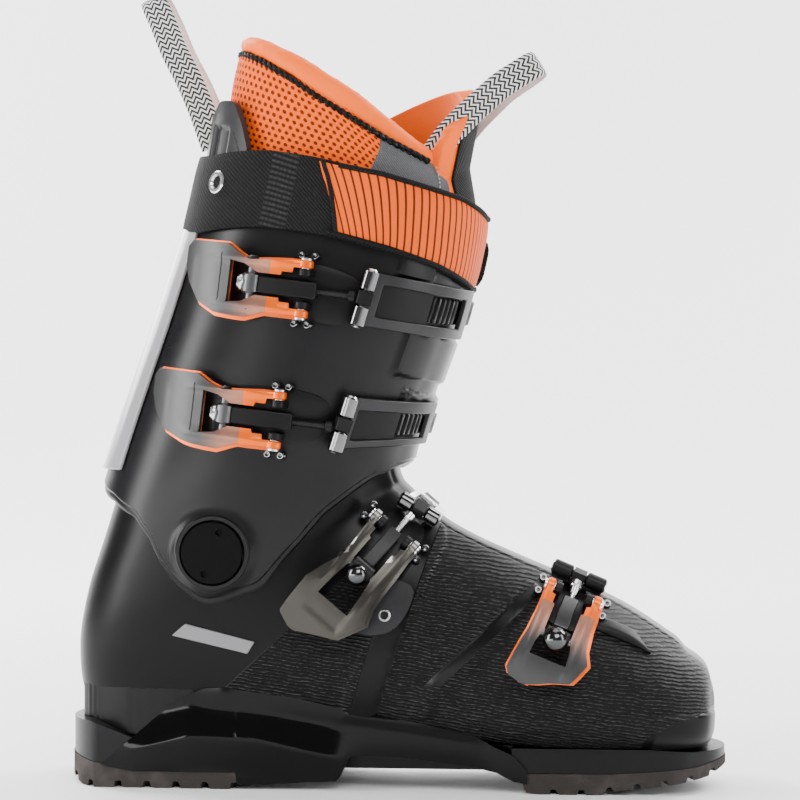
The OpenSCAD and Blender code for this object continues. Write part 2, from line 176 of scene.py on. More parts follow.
def join(name, objs):
    """One piece from several; their materials are kept."""
    depsgraph = bpy.context.evaluated_depsgraph_get()
    bm = bmesh.new()
    materials = []
    for obj in objs:
        mesh = bpy.data.meshes.new_from_object(obj.evaluated_get(depsgraph))
        mesh.transform(obj.matrix_world)
        if UV_NAME not in mesh.uv_layers:
            mesh.uv_layers.new(name=UV_NAME)
        ids = []
        for m in mesh.materials:
            if m not in materials:
                materials.append(m)
            ids.append(materials.index(m))
        for poly in mesh.polygons:
            poly.material_index = ids[min(poly.material_index, len(ids) - 1)]
        bm.from_mesh(mesh)
        bpy.data.meshes.remove(mesh)
    out = bpy.data.meshes.new(name)
    for m in materials:
        out.materials.append(m)
    bm.to_mesh(out)
    bm.free()
    for obj in objs:
        bpy.data.objects.remove(obj)
    whole = bpy.data.objects.new(name, out)
    bpy.context.scene.collection.objects.link(whole)
    return whole


def grid_faces(rows, cols, wrap, keep=None):
    """Quads of a double grid, outer points first, closed by walls where a cell has no neighbour."""
    n = cols if wrap else cols + 1
    half = (rows + 1) * n
    solid = np.ones((rows, cols), bool) if keep is None else keep

    def is_solid(i, j):
        if wrap:
            j %= cols
        return 0 <= i < rows and 0 <= j < cols and solid[i, j]

    def at(i, j):
        return i * n + (j % cols if wrap else j)

    faces = []
    for i in range(rows):
        for j in range(cols):
            if not solid[i, j]:
                continue
            a, b, c, d = at(i, j), at(i, j + 1), at(i + 1, j + 1), at(i + 1, j)
            faces.append((a, b, c, d))
            faces.append((half + d, half + c, half + b, half + a))
            sides = ((i - 1, j, a, b), (i, j + 1, b, c), (i + 1, j, c, d), (i, j - 1, d, a))
            for ni, nj, p, q in sides:
                if not is_solid(ni, nj):
                    faces.append((p, p + half, q + half, q))
    return faces


def ring_faces(rings, sides):
    """Quads between rings of points, closed by a flat face at each end."""
    faces = []
    for k in range(rings - 1):
        near, far = k * sides, (k + 1) * sides
        for j in range(sides):
            i = (j + 1) % sides
            faces.append((near + j, near + i, far + i, far + j))
    last = (rings - 1) * sides
    return faces + [tuple(range(sides))[::-1], tuple(range(last, last + sides))]


def surface_uv(t, s, out):
    """Distances in mm along the surface: u from the back round, v from the toe end up."""
    pts = layer(t, s, out)
    du = np.linalg.norm(np.diff(pts, axis=1), axis=-1).mean(axis=0)
    dv = np.linalg.norm(np.diff(pts, axis=0), axis=-1).mean(axis=1)
    u = np.concatenate([[0], np.cumsum(du)])
    v = np.concatenate([[0], np.cumsum(dv)])
    return np.stack(np.broadcast_arrays(u[None, :], v[:, None]), -1).reshape(-1, 2)


def surface_piece(name, t, s, outer, inner, material, wrap=False, keep=None):
    """A solid between two layers over grids of t and s (rows by columns)."""
    t, s = np.broadcast_arrays(np.asarray(t, float), np.asarray(s, float))
    shape = t.shape
    cols = shape[1] if wrap else shape[1] - 1
    outer_pts = layer(t, s, np.broadcast_to(outer, shape)).reshape(-1, 3)
    inner_pts = layer(t, s, np.broadcast_to(inner, shape)).reshape(-1, 3)
    uv = surface_uv(t, s, 0 if np.ndim(outer) else outer)
    faces = grid_faces(shape[0] - 1, cols, wrap, keep)
    return mesh_object(name, np.vstack([outer_pts, inner_pts]), faces, material,
                       np.vstack([uv, uv]))


def ease(x):
    """0 below 0, 1 above 1, and a smooth step between."""
    x = np.clip(x, 0, 1)
    return x * x * (3 - 2 * x)


def span(a, b, n):
    return np.linspace(a, b, n)


def ring_s(n):
    return np.arange(n)[None, :] / n


def tube(name, path_mm, radius, material, sides=12):
    """A round tube along a path."""
    path = np.asarray(path_mm, float)
    tangents = np.gradient(path, axis=0)
    tangents /= np.linalg.norm(tangents, axis=1, keepdims=True)
    upright = abs(tangents[0][2]) > 0.9
    side = np.cross(tangents[0], (1.0, 0.0, 0.0) if upright else (0.0, 0.0, 1.0))
    points, uv = [], []
    travelled = 0.0
    for k, centre in enumerate(path):
        side = side - tangents[k] * (side @ tangents[k])
        side /= np.linalg.norm(side)
        other = np.cross(tangents[k], side)
        if k:
            travelled += np.linalg.norm(centre - path[k - 1])
        for a in np.arange(sides) * TAU / sides:
            points.append(centre + radius * (math.cos(a) * side + math.sin(a) * other))
            uv.append((a * radius, travelled))
    return mesh_object(name, points, ring_faces(len(path), sides), material, uv)


def lathe(name, profile, origin, axis, material, sides=32):
    """A turned piece: profile holds radius and height, in mm, along the axis from the origin."""
    axis = np.asarray(axis, float)
    axis = axis / np.linalg.norm(axis)
    helper = np.array([0, 0, 1.0]) if abs(axis[2]) < 0.9 else np.array([1.0, 0, 0])
    a = np.cross(axis, helper)
    a /= np.linalg.norm(a)
    b = np.cross(axis, a)
    pts, uv = [], []
    for r, h in profile:
        for k in range(sides):
            angle = TAU * k / sides
            pts.append(origin + axis * h + max(r, 0.01) * (math.cos(angle) * a + math.sin(angle) * b))
            uv.append((r * math.cos(angle), r * math.sin(angle)))
    return mesh_object(name, pts, ring_faces(len(profile), sides), material, uv)


# ---- Materials -------------------------------------------------------------------------------
class Recipe:
    """A Principled material and short ways to wire textures into it."""

    def __init__(self, name, color, roughness, metallic=0.0, coat=0.0, specular=0.5):
        self.material = bpy.data.materials.new(name)
        self.material.use_nodes = True
        self.tree = self.material.node_tree
        self.bsdf = self.tree.nodes["Principled BSDF"]
        self.material.diffuse_color = (*color, 1)
        self.set("Base Color", (*color, 1))
        self.set("Roughness", roughness)
        self.set("Metallic", metallic)
        self.set("Specular IOR Level", specular)
        if coat:
            self.set("Coat Weight", coat)
            self.set("Coat Roughness", 0.06)

    def set(self, socket, value):
        self.bsdf.inputs[socket].default_value = value

    def node(self, kind, inputs=(), **settings):
        n = self.tree.nodes.new(kind)
        for key, value in settings.items():
            setattr(n, key, value)
        for key, value in dict(inputs).items():
            if isinstance(value, bpy.types.NodeSocket):
                self.tree.links.new(value, n.inputs[key])
            else:
                n.inputs[key].default_value = value
        return n

    def link(self, out, socket):
        self.tree.links.new(out, self.bsdf.inputs[socket])

    def place(self, uv=False):
        if uv:
            return self.node("ShaderNodeUVMap", uv_map=UV_NAME).outputs["UV"]
        return self.node("ShaderNodeTexCoord").outputs["Object"]

    def axes(self, vector):
        parts = self.node("ShaderNodeSeparateXYZ", {"Vector": vector})
        return parts.outputs[0], parts.outputs[1], parts.outputs[2]

    def math(self, operation, a, b=0.0, c=0.0):
        n = self.node("ShaderNodeMath", {0: a, 1: b, 2: c}, operation=operation)
        return n.outputs[0]

    def times(self, a, b):
        return self.math("MULTIPLY", a, b)

    def plus(self, a, b):
        return self.math("ADD", a, b)

    def minus(self, a, b):
        return self.math("SUBTRACT", a, b)

    def scaled(self, value, factor, offset):
        return self.math("MULTIPLY_ADD", value, factor, offset)

    def wave(self, value, pitch):
        """A sine wave with one crest in each pitch."""
        return self.math("SINE", self.times(value, TAU / pitch))

    def streaks(self, vector, scale, detail):
        """Noise that is stretched where the scale is low."""
        stretched = self.node("ShaderNodeMapping", {"Vector": vector, "Scale": scale})
        return self.noise(stretched.outputs[0], 1.0, detail)

    def noise(self, vector, scale, detail=3.0, roughness=0.5):
        n = self.node("ShaderNodeTexNoise", {"Vector": vector, "Scale": scale, "Detail": detail,
                                             "Roughness": roughness})
        return n.outputs["Fac"]

    def ramp(self, value, low, high, out_low=0.0, out_high=1.0):
        n = self.node("ShaderNodeMapRange", {"Value": value, "From Min": low, "From Max": high,
                                             "To Min": out_low, "To Max": out_high},
                      interpolation_type="SMOOTHSTEP")
        return n.outputs["Result"]

    def mix(self, factor, a, b):
        n = self.tree.nodes.new("ShaderNodeMix")
        n.data_type = "RGBA"
        for key, value in ((0, factor), (6, a), (7, b)):
            if isinstance(value, bpy.types.NodeSocket):
                self.tree.links.new(value, n.inputs[key])
            else:
                n.inputs[key].default_value = value if key == 0 else (*value, 1)
        return n.outputs[2]

    def bump(self, height, distance_mm, strength=1.0, under=None):
        inputs = {"Height": height, "Distance": distance_mm * MM, "Strength": strength}
        if under is not None:
            inputs["Normal"] = under
        normal = self.node("ShaderNodeBump", inputs).outputs["Normal"]
        self.link(normal, "Normal")
        return normal


def moulded(name, color, roughness, grain_mm=0.05, coat=0.0, scuffs=0.08, specular=0.16):
    """Satin or glossy moulded plastic: fine grain, uneven sheen and faint scuffs."""
    r = Recipe(name, color, roughness, coat=coat, specular=specular)
    place = r.place()
    fine = r.noise(place, 2600, 2)
    broad = r.noise(place, 22, 4)
    streaks = r.streaks(place, (60, 60, 900), 5)
    worn = r.ramp(streaks, 0.62, 0.72)
    level = r.scaled(broad, 0.16, roughness - 0.08)
    r.link(r.scaled(worn, scuffs, level), "Roughness")
    lighter = tuple(min(1, c * 1.5 + 0.001) for c in color)
    r.link(r.mix(r.times(broad, 0.45), color, lighter), "Base Color")
    r.bump(fine, grain_mm)
    return r


def metal(name, color, roughness, edge=None, metallic=1.0):
    """Anodised or plated metal: a fine brushed grain, and lighter worn edges."""
    r = Recipe(name, color, roughness, metallic=metallic)
    place = r.place()
    grain = r.streaks(place, (300, 300, 3000), 4)
    patches = r.noise(place, 90, 3)
    wear = r.node("ShaderNodeNewGeometry").outputs["Pointiness"]
    worn = r.ramp(wear, 0.53, 0.62)
    bright = edge or tuple(min(1, c * 2.2 + 0.05) for c in color)
    tone = r.mix(r.times(patches, 0.5), color, tuple(c * 0.7 for c in color))
    r.link(r.mix(worn, tone, bright), "Base Color")
    r.link(r.scaled(grain, 0.18, roughness - 0.06), "Roughness")
    r.bump(grain, 0.02)
    return r


def ribbed_shell():
    """The shell: fine wavy ribs in front of a slanted line, with smooth bands between them."""
    r = Recipe("shell_ribbed", (0.003, 0.003, 0.0034), 0.42, specular=0.13)
    place = r.place()
    x, y, z = r.axes(place)

    def slanted(a, b):
        """The distance in mm across a slanted line seen from the side: a x + b z."""
        return r.plus(r.times(x, a * 1000), r.times(z, b * 1000))

    def between(value, low, high):
        return r.times(r.ramp(value, low, low + 0.5), r.ramp(value, high + 0.5, high))

    fore = r.ramp(slanted(0.676, -0.735), -85.0, -84.4)
    wide_band = between(slanted(0.936, -0.30), -27.6, -15.4)
    thin_band = r.times(between(slanted(0.677, -0.737), -25.7, -20.2), r.ramp(z, 0.048, 0.052))
    reach = r.math("MINIMUM", r.math("MAXIMUM", r.scaled(x, 32.0, -3.66), 0.001), 1.0)
    rim = r.scaled(r.math("POWER", reach, 0.5), 0.017, 0.022)
    toe_band = r.times(r.ramp(x, 0.1145, 0.1150), r.ramp(r.minus(z, rim), 0.0003, -0.0003))
    flap = r.ramp(r.math("ABSOLUTE", y), 0.0125, 0.0115)
    mask = fore
    for smooth_part in (wide_band, thin_band, toe_band, flap):
        mask = r.times(mask, r.minus(1.0, smooth_part))
    wave = r.wave(x, 0.016)
    wobble = r.times(r.noise(place, 190, 3), 1.5)
    height_mm = r.scaled(z, 1000, r.times(wave, 0.16))
    tilted = r.plus(height_mm, r.times(x, 150))
    phase = r.times(r.plus(tilted, wobble), TAU / 1.65)
    crest = r.scaled(r.math("SINE", phase), 0.5, 0.5)
    thread = r.streaks(place, (520, 520, 1900), 3)
    woven = r.times(r.plus(crest, r.times(thread, 0.8)), mask)
    fine = r.times(r.noise(place, 2600, 2), 0.08)
    r.bump(r.plus(woven, fine), 0.42)
    glint = r.ramp(r.times(crest, thread), 0.40, 0.62)
    lit = r.times(glint, mask)
    r.link(r.mix(lit, (0.002, 0.002, 0.0022), (0.040, 0.039, 0.037)), "Base Color")
    broad = r.noise(place, 22, 4)
    r.link(r.scaled(mask, 0.10, r.scaled(broad, 0.12, 0.26)), "Roughness")
    return r


def knitted_foam():
    """Orange padded mesh: a staggered pattern of small dimples with a woven ground. The dimples are
    painted a darker orange: painted shade in the pits.
    """
    r = Recipe("collar_mesh", (0.9, 0.08, 0.0), 0.72, specular=0.1)
    u, v, _ = r.axes(r.place(uv=True))
    across, along = 3.6, 2.6
    row = r.math("FLOOR", r.math("DIVIDE", v, along))
    shift = r.times(r.math("MODULO", row, 2.0), 0.5)
    cu = r.minus(r.math("FRACT", r.plus(r.math("DIVIDE", u, across), shift)), 0.5)
    cv = r.minus(r.math("FRACT", r.math("DIVIDE", v, along)), 0.5)
    far = r.math("SQRT", r.plus(r.times(cu, cu), r.times(cv, cv)))
    pit = r.ramp(far, 0.16, 0.34)
    threads = r.noise(r.place(), 1700, 2)
    # Painted shade: the dimples' centres get a darker orange, as if in shadow; the same value also
    # shapes the bump.
    r.link(r.mix(pit, (0.15, 0.018, 0.0), (0.86, 0.10, 0.0)), "Base Color")
    r.bump(r.scaled(threads, 0.25, pit), 0.9)
    return r


def foam_skin(name, color):
    """Smooth coated foam with a very soft crease grain."""
    r = Recipe(name, color, 0.5, specular=0.12)
    place = r.place()
    soft = r.noise(place, 45, 4)
    fine = r.noise(place, 1500, 3)
    r.link(r.mix(r.times(soft, 0.5), color, tuple(c * 0.72 for c in color)), "Base Color")
    r.link(r.scaled(fine, 0.25, 0.38), "Roughness")
    r.bump(r.scaled(fine, 0.3, soft), 0.35)
    return r


def woven(name, dark, light, pitch_mm=1.1, slope=1.0, roughness=0.75, depth_mm=0.25):
    """Webbing or lining: fine diagonal twill of two near tones."""
    r = Recipe(name, dark, roughness, specular=0.12)
    u, v, _ = r.axes(r.place(uv=True))
    diagonal = r.plus(r.times(u, slope), v)
    rib = r.scaled(r.wave(diagonal, pitch_mm), 0.5, 0.5)
    cross = r.scaled(r.wave(u, pitch_mm * 0.7), 0.5, 0.5)
    weave = r.times(rib, r.scaled(cross, 0.4, 0.6))
    fuzz = r.noise(r.place(), 900, 3)
    r.link(r.mix(r.times(weave, fuzz), dark, light), "Base Color")
    r.bump(weave, depth_mm)
    return r


def chevron(name):
    """Pull-loop webbing: black and white zigzags that point along the band."""
    r = Recipe(name, (0.4, 0.4, 0.4), 0.7, specular=0.2)
    u, v, _ = r.axes(r.place(uv=True))
    fold = r.math("PINGPONG", u, 2.1)
    zigzag = r.plus(r.times(fold, 1.15), v)
    stripe = r.wave(zigzag, 2.6)
    white = r.ramp(stripe, 0.05, 0.20)
    threads = r.scaled(r.wave(u, 0.6), 0.5, 0.5)
    fuzz = r.noise(r.place(), 1300, 3)
    tone = r.mix(white, (0.006, 0.006, 0.006), (0.74, 0.73, 0.71))
    r.link(r.mix(r.times(fuzz, 0.15), tone, (0.2, 0.2, 0.2)), "Base Color")
    r.bump(r.scaled(threads, 0.5, fuzz), 0.25)
    return r


def strap_print():
    """Printed orange panel of the power strap: thin dark slanted lines on a fine weave."""
    r = Recipe("strap_print", (0.8, 0.08, 0.0), 0.62, specular=0.12)
    u, v, _ = r.axes(r.place(uv=True))
    slanted = r.scaled(v, 0.12, u)
    line = r.math("ABSOLUTE", r.minus(r.math("FRACT", r.math("DIVIDE", slanted, 3.1)), 0.5))
    ink = r.ramp(line, 0.10, 0.16)
    weave = r.times(r.wave(u, 0.7), r.wave(v, 0.7))
    fuzz = r.noise(r.place(), 1100, 3)
    base = r.mix(ink, (0.03, 0.008, 0.002), (0.80, 0.10, 0.0))
    r.link(r.mix(r.times(fuzz, 0.3), base, (0.40, 0.045, 0.0)), "Base Color")
    r.bump(r.scaled(weave, 0.3, r.times(ink, 0.5)), 0.18)
    return r


def rubber():
    r = Recipe("sole_rubber", (0.036, 0.032, 0.03), 0.82, specular=0.1)
    place = r.place()
    grain = r.noise(place, 900, 5, 0.65)
    dust = r.noise(place, 60, 5)
    r.link(r.mix(r.ramp(dust, 0.45, 0.7), (0.028, 0.024, 0.022), (0.05, 0.044, 0.041)),
           "Base Color")
    r.link(r.scaled(grain, 0.25, 0.66), "Roughness")
    r.bump(grain, 0.25)
    return r


def faded_orange(name, start_x, end_x, crease_shade_x=None, gunmetal=(0.05, 0.05, 0.05)):
    """Anodised lever: dark grey at the handle, turning orange along the arms towards end_x.
    Its first UV coordinate is the distance from the hinge, in mm. A thin near-black line of painted
    shade, standing for a shaded crease, may cross the handle."""
    r = Recipe(name, gunmetal, 0.34, metallic=0.6, specular=0.25)
    u, v, _ = r.axes(r.place(uv=True))
    place = r.place()
    grain = r.streaks(place, (300, 300, 3000), 4)
    fade = r.ramp(u, end_x + 0.6, end_x)
    copper = r.mix(r.ramp(u, start_x, end_x), gunmetal, (0.30, 0.13, 0.085))
    dots = r.times(r.wave(u, 0.8), r.wave(v, 0.8))
    tone = r.mix(fade, copper, (0.90, 0.13, 0.0))
    darker = r.times(r.scaled(dots, 0.25, 0.15), fade)
    tone = r.mix(darker, tone, (0.22, 0.03, 0.0))
    # Painted shade: a near-black line across the handle where a crease would lie in shadow.
    if crease_shade_x is not None:
        line = r.ramp(r.math("ABSOLUTE", r.minus(u, crease_shade_x)), 0.42, 0.25)
        length = r.times(r.ramp(v, -9.3, -8.8), r.ramp(v, 12.6, 12.1))
        tone = r.mix(r.times(line, length), tone, (0.002, 0.002, 0.002))
    r.link(tone, "Base Color")
    r.link(r.scaled(grain, 0.2, 0.24), "Roughness")
    r.bump(grain, 0.02)
    return r


# ---- Finishes --------------------------------------------------------------------------------
SHELL = ribbed_shell().material
SATIN = moulded("satin_black", (0.004, 0.004, 0.0045), 0.32).material
CUFF = moulded("cuff_black", (0.004, 0.004, 0.0045), 0.30, 0.03, specular=0.2).material
GLOSS = moulded("gloss_black", (0.0015, 0.0015, 0.0015), 0.10, 0.002, scuffs=0.02,
                specular=0.15).material
CAP_BLACK = moulded("cap_black", (0.002, 0.002, 0.002), 0.3, 0.02, specular=0.05).material
PLATE = moulded("plate_grey", (0.16, 0.16, 0.165), 0.35, 0.02).material
RUBBER = rubber().material
BLACK = moulded("black_plastic", (0.004, 0.004, 0.004), 0.40).material
GREY = moulded("dark_grey_plastic", (0.018, 0.018, 0.019), 0.34).material
PALE = moulded("pale_grey_gloss", (0.22, 0.22, 0.23), 0.16, 0.01, coat=0.4).material
BOARD = moulded("board_grey", (0.16, 0.16, 0.16), 0.6).material
FOAM = foam_skin("orange_foam", (1.0, 0.135, 0.0)).material
MESH = knitted_foam().material
LINING = woven("liner_lining", (0.008, 0.008, 0.009), (0.03, 0.03, 0.032), 1.4).material
TWILL = woven("strap_twill", (0.003, 0.003, 0.003), (0.020, 0.020, 0.021), 1.7, 0.9).material
COARSE = woven("strap_mesh", (0.003, 0.003, 0.003), (0.045, 0.045, 0.045), 2.4, 0.2).material
GREY_CLOTH = woven("grey_panel", (0.07, 0.07, 0.075), (0.19, 0.19, 0.195), 1.2, 0.6).material
CORD = woven("piping_cord", (0.003, 0.003, 0.003), (0.02, 0.02, 0.02), 2.6, 1.0, 0.5,
             0.5).material
THREAD = woven("thread", (0.5, 0.5, 0.5), (0.8, 0.8, 0.8), 0.5).material
PRINT = strap_print().material
CHEVRON = chevron("chevron_webbing").material
PINK = woven("loop_back", (0.62, 0.50, 0.46), (0.8, 0.74, 0.72), 0.9).material
GUNMETAL = metal("gunmetal", (0.06, 0.056, 0.05), 0.3, (0.36, 0.35, 0.33)).material
SATIN_METAL = metal("satin_grey_metal", (0.04, 0.04, 0.041), 0.32,
                    (0.20, 0.20, 0.205)).material
CHROME = metal("dark_chrome", (0.09, 0.09, 0.092), 0.12).material
SILVER = metal("silver", (0.72, 0.72, 0.73), 0.2, (0.95, 0.95, 0.95)).material
ORANGE_METAL = metal("orange_anodised", (0.90, 0.13, 0.0), 0.35, (0.95, 0.24, 0.02), 0.45).material


def own(obj, body, slot, *nodes):
    """The piece rides on a body and stands for CAD nodes if any, which it hides. The slot is not
    used.
    """
    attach(obj, body)
    if nodes:
        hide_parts(*nodes)
    return obj


def dress(node, material):
    """Gives a CAD node that stays in sight its material."""
    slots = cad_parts[node].data.materials
    if slots:
        slots[0] = material
    else:
        slots.append(material)


# ---- Lower shell -----------------------------------------------------------------------------
def bump_line(x, z, points, half, height, soft=1.5):
    """A raised band along a line seen from the side: height within half of the line."""
    pts = np.asarray(points, float)
    best = np.full(np.shape(x), 1e9)
    for a, b in zip(pts[:-1], pts[1:]):
        d = b - a
        f = np.clip(((x - a[0]) * d[0] + (z - a[1]) * d[1]) / (d @ d), 0, 1)
        best = np.minimum(best, np.hypot(x - a[0] - f * d[0], z - a[1] - f * d[1]))
    return height * (1 - ease((best - half) / soft))


def shell_relief(t, s):
    """How far the shell's bands, flap edge and toe cap stand out, in mm."""
    p = skin(t, s)
    x, z = p[..., 0], p[..., 2]
    side = np.minimum(s % 1, 1 - s % 1)
    out = bump_line(x, z, [[17, 113], [1, 76], [-13, 40]], 7.0, 1.5)
    out = np.maximum(out, bump_line(x, z, [[64, 91], [45, 70], [27, 54], [16, 38]], 3.4, 1.3))
    out = np.maximum(out, 1.5 * ease((x - 118) / 1.6) * ease((38 - z) / 1.6))
    # The lateral flap laps over the top of the foot
    over = ease((side - 0.40) / 0.08) * np.where(s % 1 < 0.512, 1.0, 0.25)
    lap = 2.2 * over * ease((t - 1.6) / 0.5)
    groove = 0.7 * np.exp(-((s % 1 - 0.462) / 0.004) ** 2) * ease((t - 1.8) / 0.4)
    return out + lap - groove


def toe_rows(t0, out, cols, count):
    """Rings that close the toe in front of the slice at t0, with a slight crown."""
    s = ring_s(cols)
    rim = layer(np.full_like(s, t0), s, np.full_like(s, out))[0]
    middle = (rim.min(0) + rim.max(0)) / 2
    rows = []
    for f in span(0.03, 1, count)[:-1]:
        ring = middle + (rim - middle) * f
        ring[:, 0] += 1.6 * (1 - f ** 2.5)
        rows.append(ring)
    return rows


def top_edge(s, rear, front):
    """The t of an upper edge that changes smoothly from the back to the front."""
    return rear + (front - rear) * (1 - np.cos(TAU * s)) / 2


def lower_shell():
    cols, rows = 240, 230
    s = ring_s(cols)
    top = top_edge(s, 14.5, 12.8)
    f = span(0, 1, rows)[:, None]
    t = top * f
    ss = np.broadcast_to(s, t.shape)
    thinner = 0.8 * (1 - np.minimum(1, (1 - f) * 60))  # at the upper edge
    outer = list(layer(t, ss, shell_relief(t, ss) - thinner))
    t_in = 1.3 + (top - 1.3) * f
    inner = list(layer(t_in, ss, -4.0 + 0 * t))
    outer = toe_rows(0.0, 0.0, cols, 10) + outer
    inner = toe_rows(1.3, -4.0, cols, 10) + inner
    n = len(outer)
    pts = np.vstack(outer + inner)
    half = n * cols
    outside = ring_faces(n, cols)[:-1]
    inside = [tuple(half + v for v in face[::-1]) for face in outside]
    last = half - cols
    rim = [(last + j, last + k, half + last + k, half + last + j)
           for j, k in zip(range(cols), [*range(1, cols), 0])]
    return mesh_object("Boot_lower", pts, outside + inside + rim, SHELL)


def block(name, xs, half_width, low, high, material, cols=28, edge_mm=1.0):
    """A solid between two heights over a plan that is symmetric about the centre plane.
    low and high are functions of x and y."""
    xs = np.asarray(xs, float)
    w = np.maximum([half_width(x) for x in xs], 0.6)
    y = w[:, None] * np.sin(span(-1, 1, cols + 1) * math.pi / 2)[None, :]
    x = np.broadcast_to(xs[:, None], y.shape)
    tops = np.stack([x, y, high(x, y) + 0 * x], -1).reshape(-1, 3)
    bottoms = np.stack([x, y, low(x, y) + 0 * x], -1).reshape(-1, 3)
    faces = grid_faces(len(xs) - 1, cols, False)
    obj = mesh_object(name, np.vstack([tops, bottoms]), faces, material)
    return bevel(obj, edge_mm) if edge_mm else obj


# Centres and radii of the round ends of the lugs, and half the heel's width
TOE_C, TOE_R = 118, 34.5
HEEL_C, HEEL_R, HEEL_HALF = -106.5, 46, 35.0
HEEL_LUG_TOP = [(-153, 30), (-138, 30), (-118, 22.6), (-69, 21.8)]


def toe_width(grow=0.0):
    r = TOE_R + grow
    return lambda x: r if x < TOE_C else math.sqrt(max(r ** 2 - (x - TOE_C) ** 2, 0))


def heel_width(grow=0.0):
    r, half = HEEL_R + grow, HEEL_HALF + grow
    return lambda x: half if x >= HEEL_C else min(half, math.sqrt(
        max(r ** 2 - (x - HEEL_C) ** 2, 0)))


def profile(points):
    """A height that follows points of x and z."""
    xs, zs = zip(*points)
    return lambda x, y: np.interp(x, xs, zs)


def level(z):
    """The same height everywhere."""
    return lambda x, y: np.full(np.shape(x), float(z))


def step_width(x):
    """Half width of the rounded step above the toe lug."""
    return min(20, math.sqrt(max(27 ** 2 - (x - TOE_C) ** 2, 0)))


def round_end(x0, x1, count):
    """Positions along x, closer together near the round end at x1."""
    return x0 + (x1 - x0) * np.sin(span(0, 1, count) * math.pi / 2)


# Top of the upright wall between the heel lug and the round of the heel
WALL_TOP = 46


def heel_wall_width(x):
    """The shell's own half width where it starts to curl under the heel."""
    width = side_depth(x, np.full(len(x), WALL_TOP)) - 0.2
    order = np.argsort(x)
    return lambda v: float(np.interp(v, x[order], width[order]))


def lugs():
    """Toe and heel lug, the step over the toe lug, the heel wall, and the sole between them."""
    toe = block("Toe_lug", round_end(56, 152.4, 60), toe_width(),
                profile([(56, 9.2), (101, 9.6), (139, 12.4), (153, 15.2)]),
                profile([(56, 20.4), (120, 20.6), (138, 19), (153, 19)]), SATIN)
    heel = block("Heel_lug", round_end(-69, -152.4, 60), heel_width(),
                 profile([(-153, 14), (-129, 10.5), (-119, 7.8), (-69, 7.8)]),
                 profile(HEEL_LUG_TOP), SATIN)
    step = block("Toe_step", round_end(132, 144.8, 24), step_width, level(16), level(25), SATIN)
    wall_x = round_end(-90, -146, 46)
    wall = block("Heel_wall", wall_x, heel_wall_width(wall_x), level(24), level(WALL_TOP), SHELL,
                 edge_mm=0)
    middle = block("Sole_middle", span(-70, 57, 24), lambda x: 27, profile([(-70, 9), (57, 9.5)]),
                   level(20.8), SATIN)
    return [toe, heel, step, wall, middle]


def tread(x, y, start, pitch, slope, depth):
    """Grooves across a sole that bend backwards on both sides."""
    phase = ((x - start + slope * np.abs(y)) / pitch) % 1.0
    groove = 1 - ease((np.abs(phase - 0.5) - 0.10) / 0.06)
    return depth * groove * ease((np.abs(y) - 7) / 2)


def soles():
    """Rubber soles that rise at the heel and the toe, with a tread."""
    def heel_low(x, y):
        base = np.interp(x, [-153, -143, -69], [3.5, 0, 0])
        return base + tread(x, y, -68, 13.5, 0.28, 3.0)

    def toe_low(x, y):
        base = np.interp(x, [60, 62, 68, 92, 107, 130, 144, 153], [9, .8, 0, 0, 2.6, 5, 7.5, 11.5])
        return base + tread(x, y, 60, 12.5, -0.25, 2.2) * ease((x - 64) / 2)

    heel = block("Sole_heel", round_end(-70, -152.8, 170), heel_width(0.4), heel_low,
                 profile([(-153, 13.8), (-129, 10.3), (-119, 7.6), (-69, 7.6)]), RUBBER, 44, 0.5)
    toe = block("Sole_toe", round_end(60, 152.8, 170), toe_width(0.4), toe_low,
                profile([(60, 9), (101, 9.4), (139, 12.2), (153, 15)]), RUBBER, 44, 0.5)
    own(heel, "lower", "sole_rubber", "heel_sole")
    own(toe, "lower", "sole_rubber", "toe_sole")


# ---- Glossy cladding -------------------------------------------------------------------------
# Upper and lower outline of the cladding seen from the side: x and z, in mm
CLAD_TOP = [(-133, 10.9), (-122, 20), (-108, 32), (-98, 39.5), (-90, 44), (-84, 46.3), (-76, 46.6),
            (-66, 45.3), (-43, 42.5), (-25, 38.5), (16, 31.5), (40, 26), (47, 21.5), (57, 17),
            (63, 10.4)]
CLAD_LOW = [(-133, 10.4), (-129, 9.4), (-119, 7.9), (-70.5, 7.7), (-69.5, 2.2), (-67, 1.8),
            (-24, 4.4), (-22.5, 6), (-17.5, 15.6), (-12, 16.3), (6, 15.7), (36.6, 12.2),
            (49, 9.4), (57, 5.4), (63, 4.4)]


def side_depth(x, z, ts=span(3.2, 10.6, 420), ss=span(0.0, 0.3, 160)):
    """Half width of the shell at a place seen from the side, looked up on a grid of t and s."""
    p = skin(*np.meshgrid(ts, ss, indexing="ij")).reshape(-1, 3)
    depth = [-p[np.argmin((p[:, 0] - a) ** 2 + (p[:, 2] - b) ** 2), 1]
             for a, b in zip(np.ravel(x), np.ravel(z))]
    return np.reshape(depth, np.shape(x))


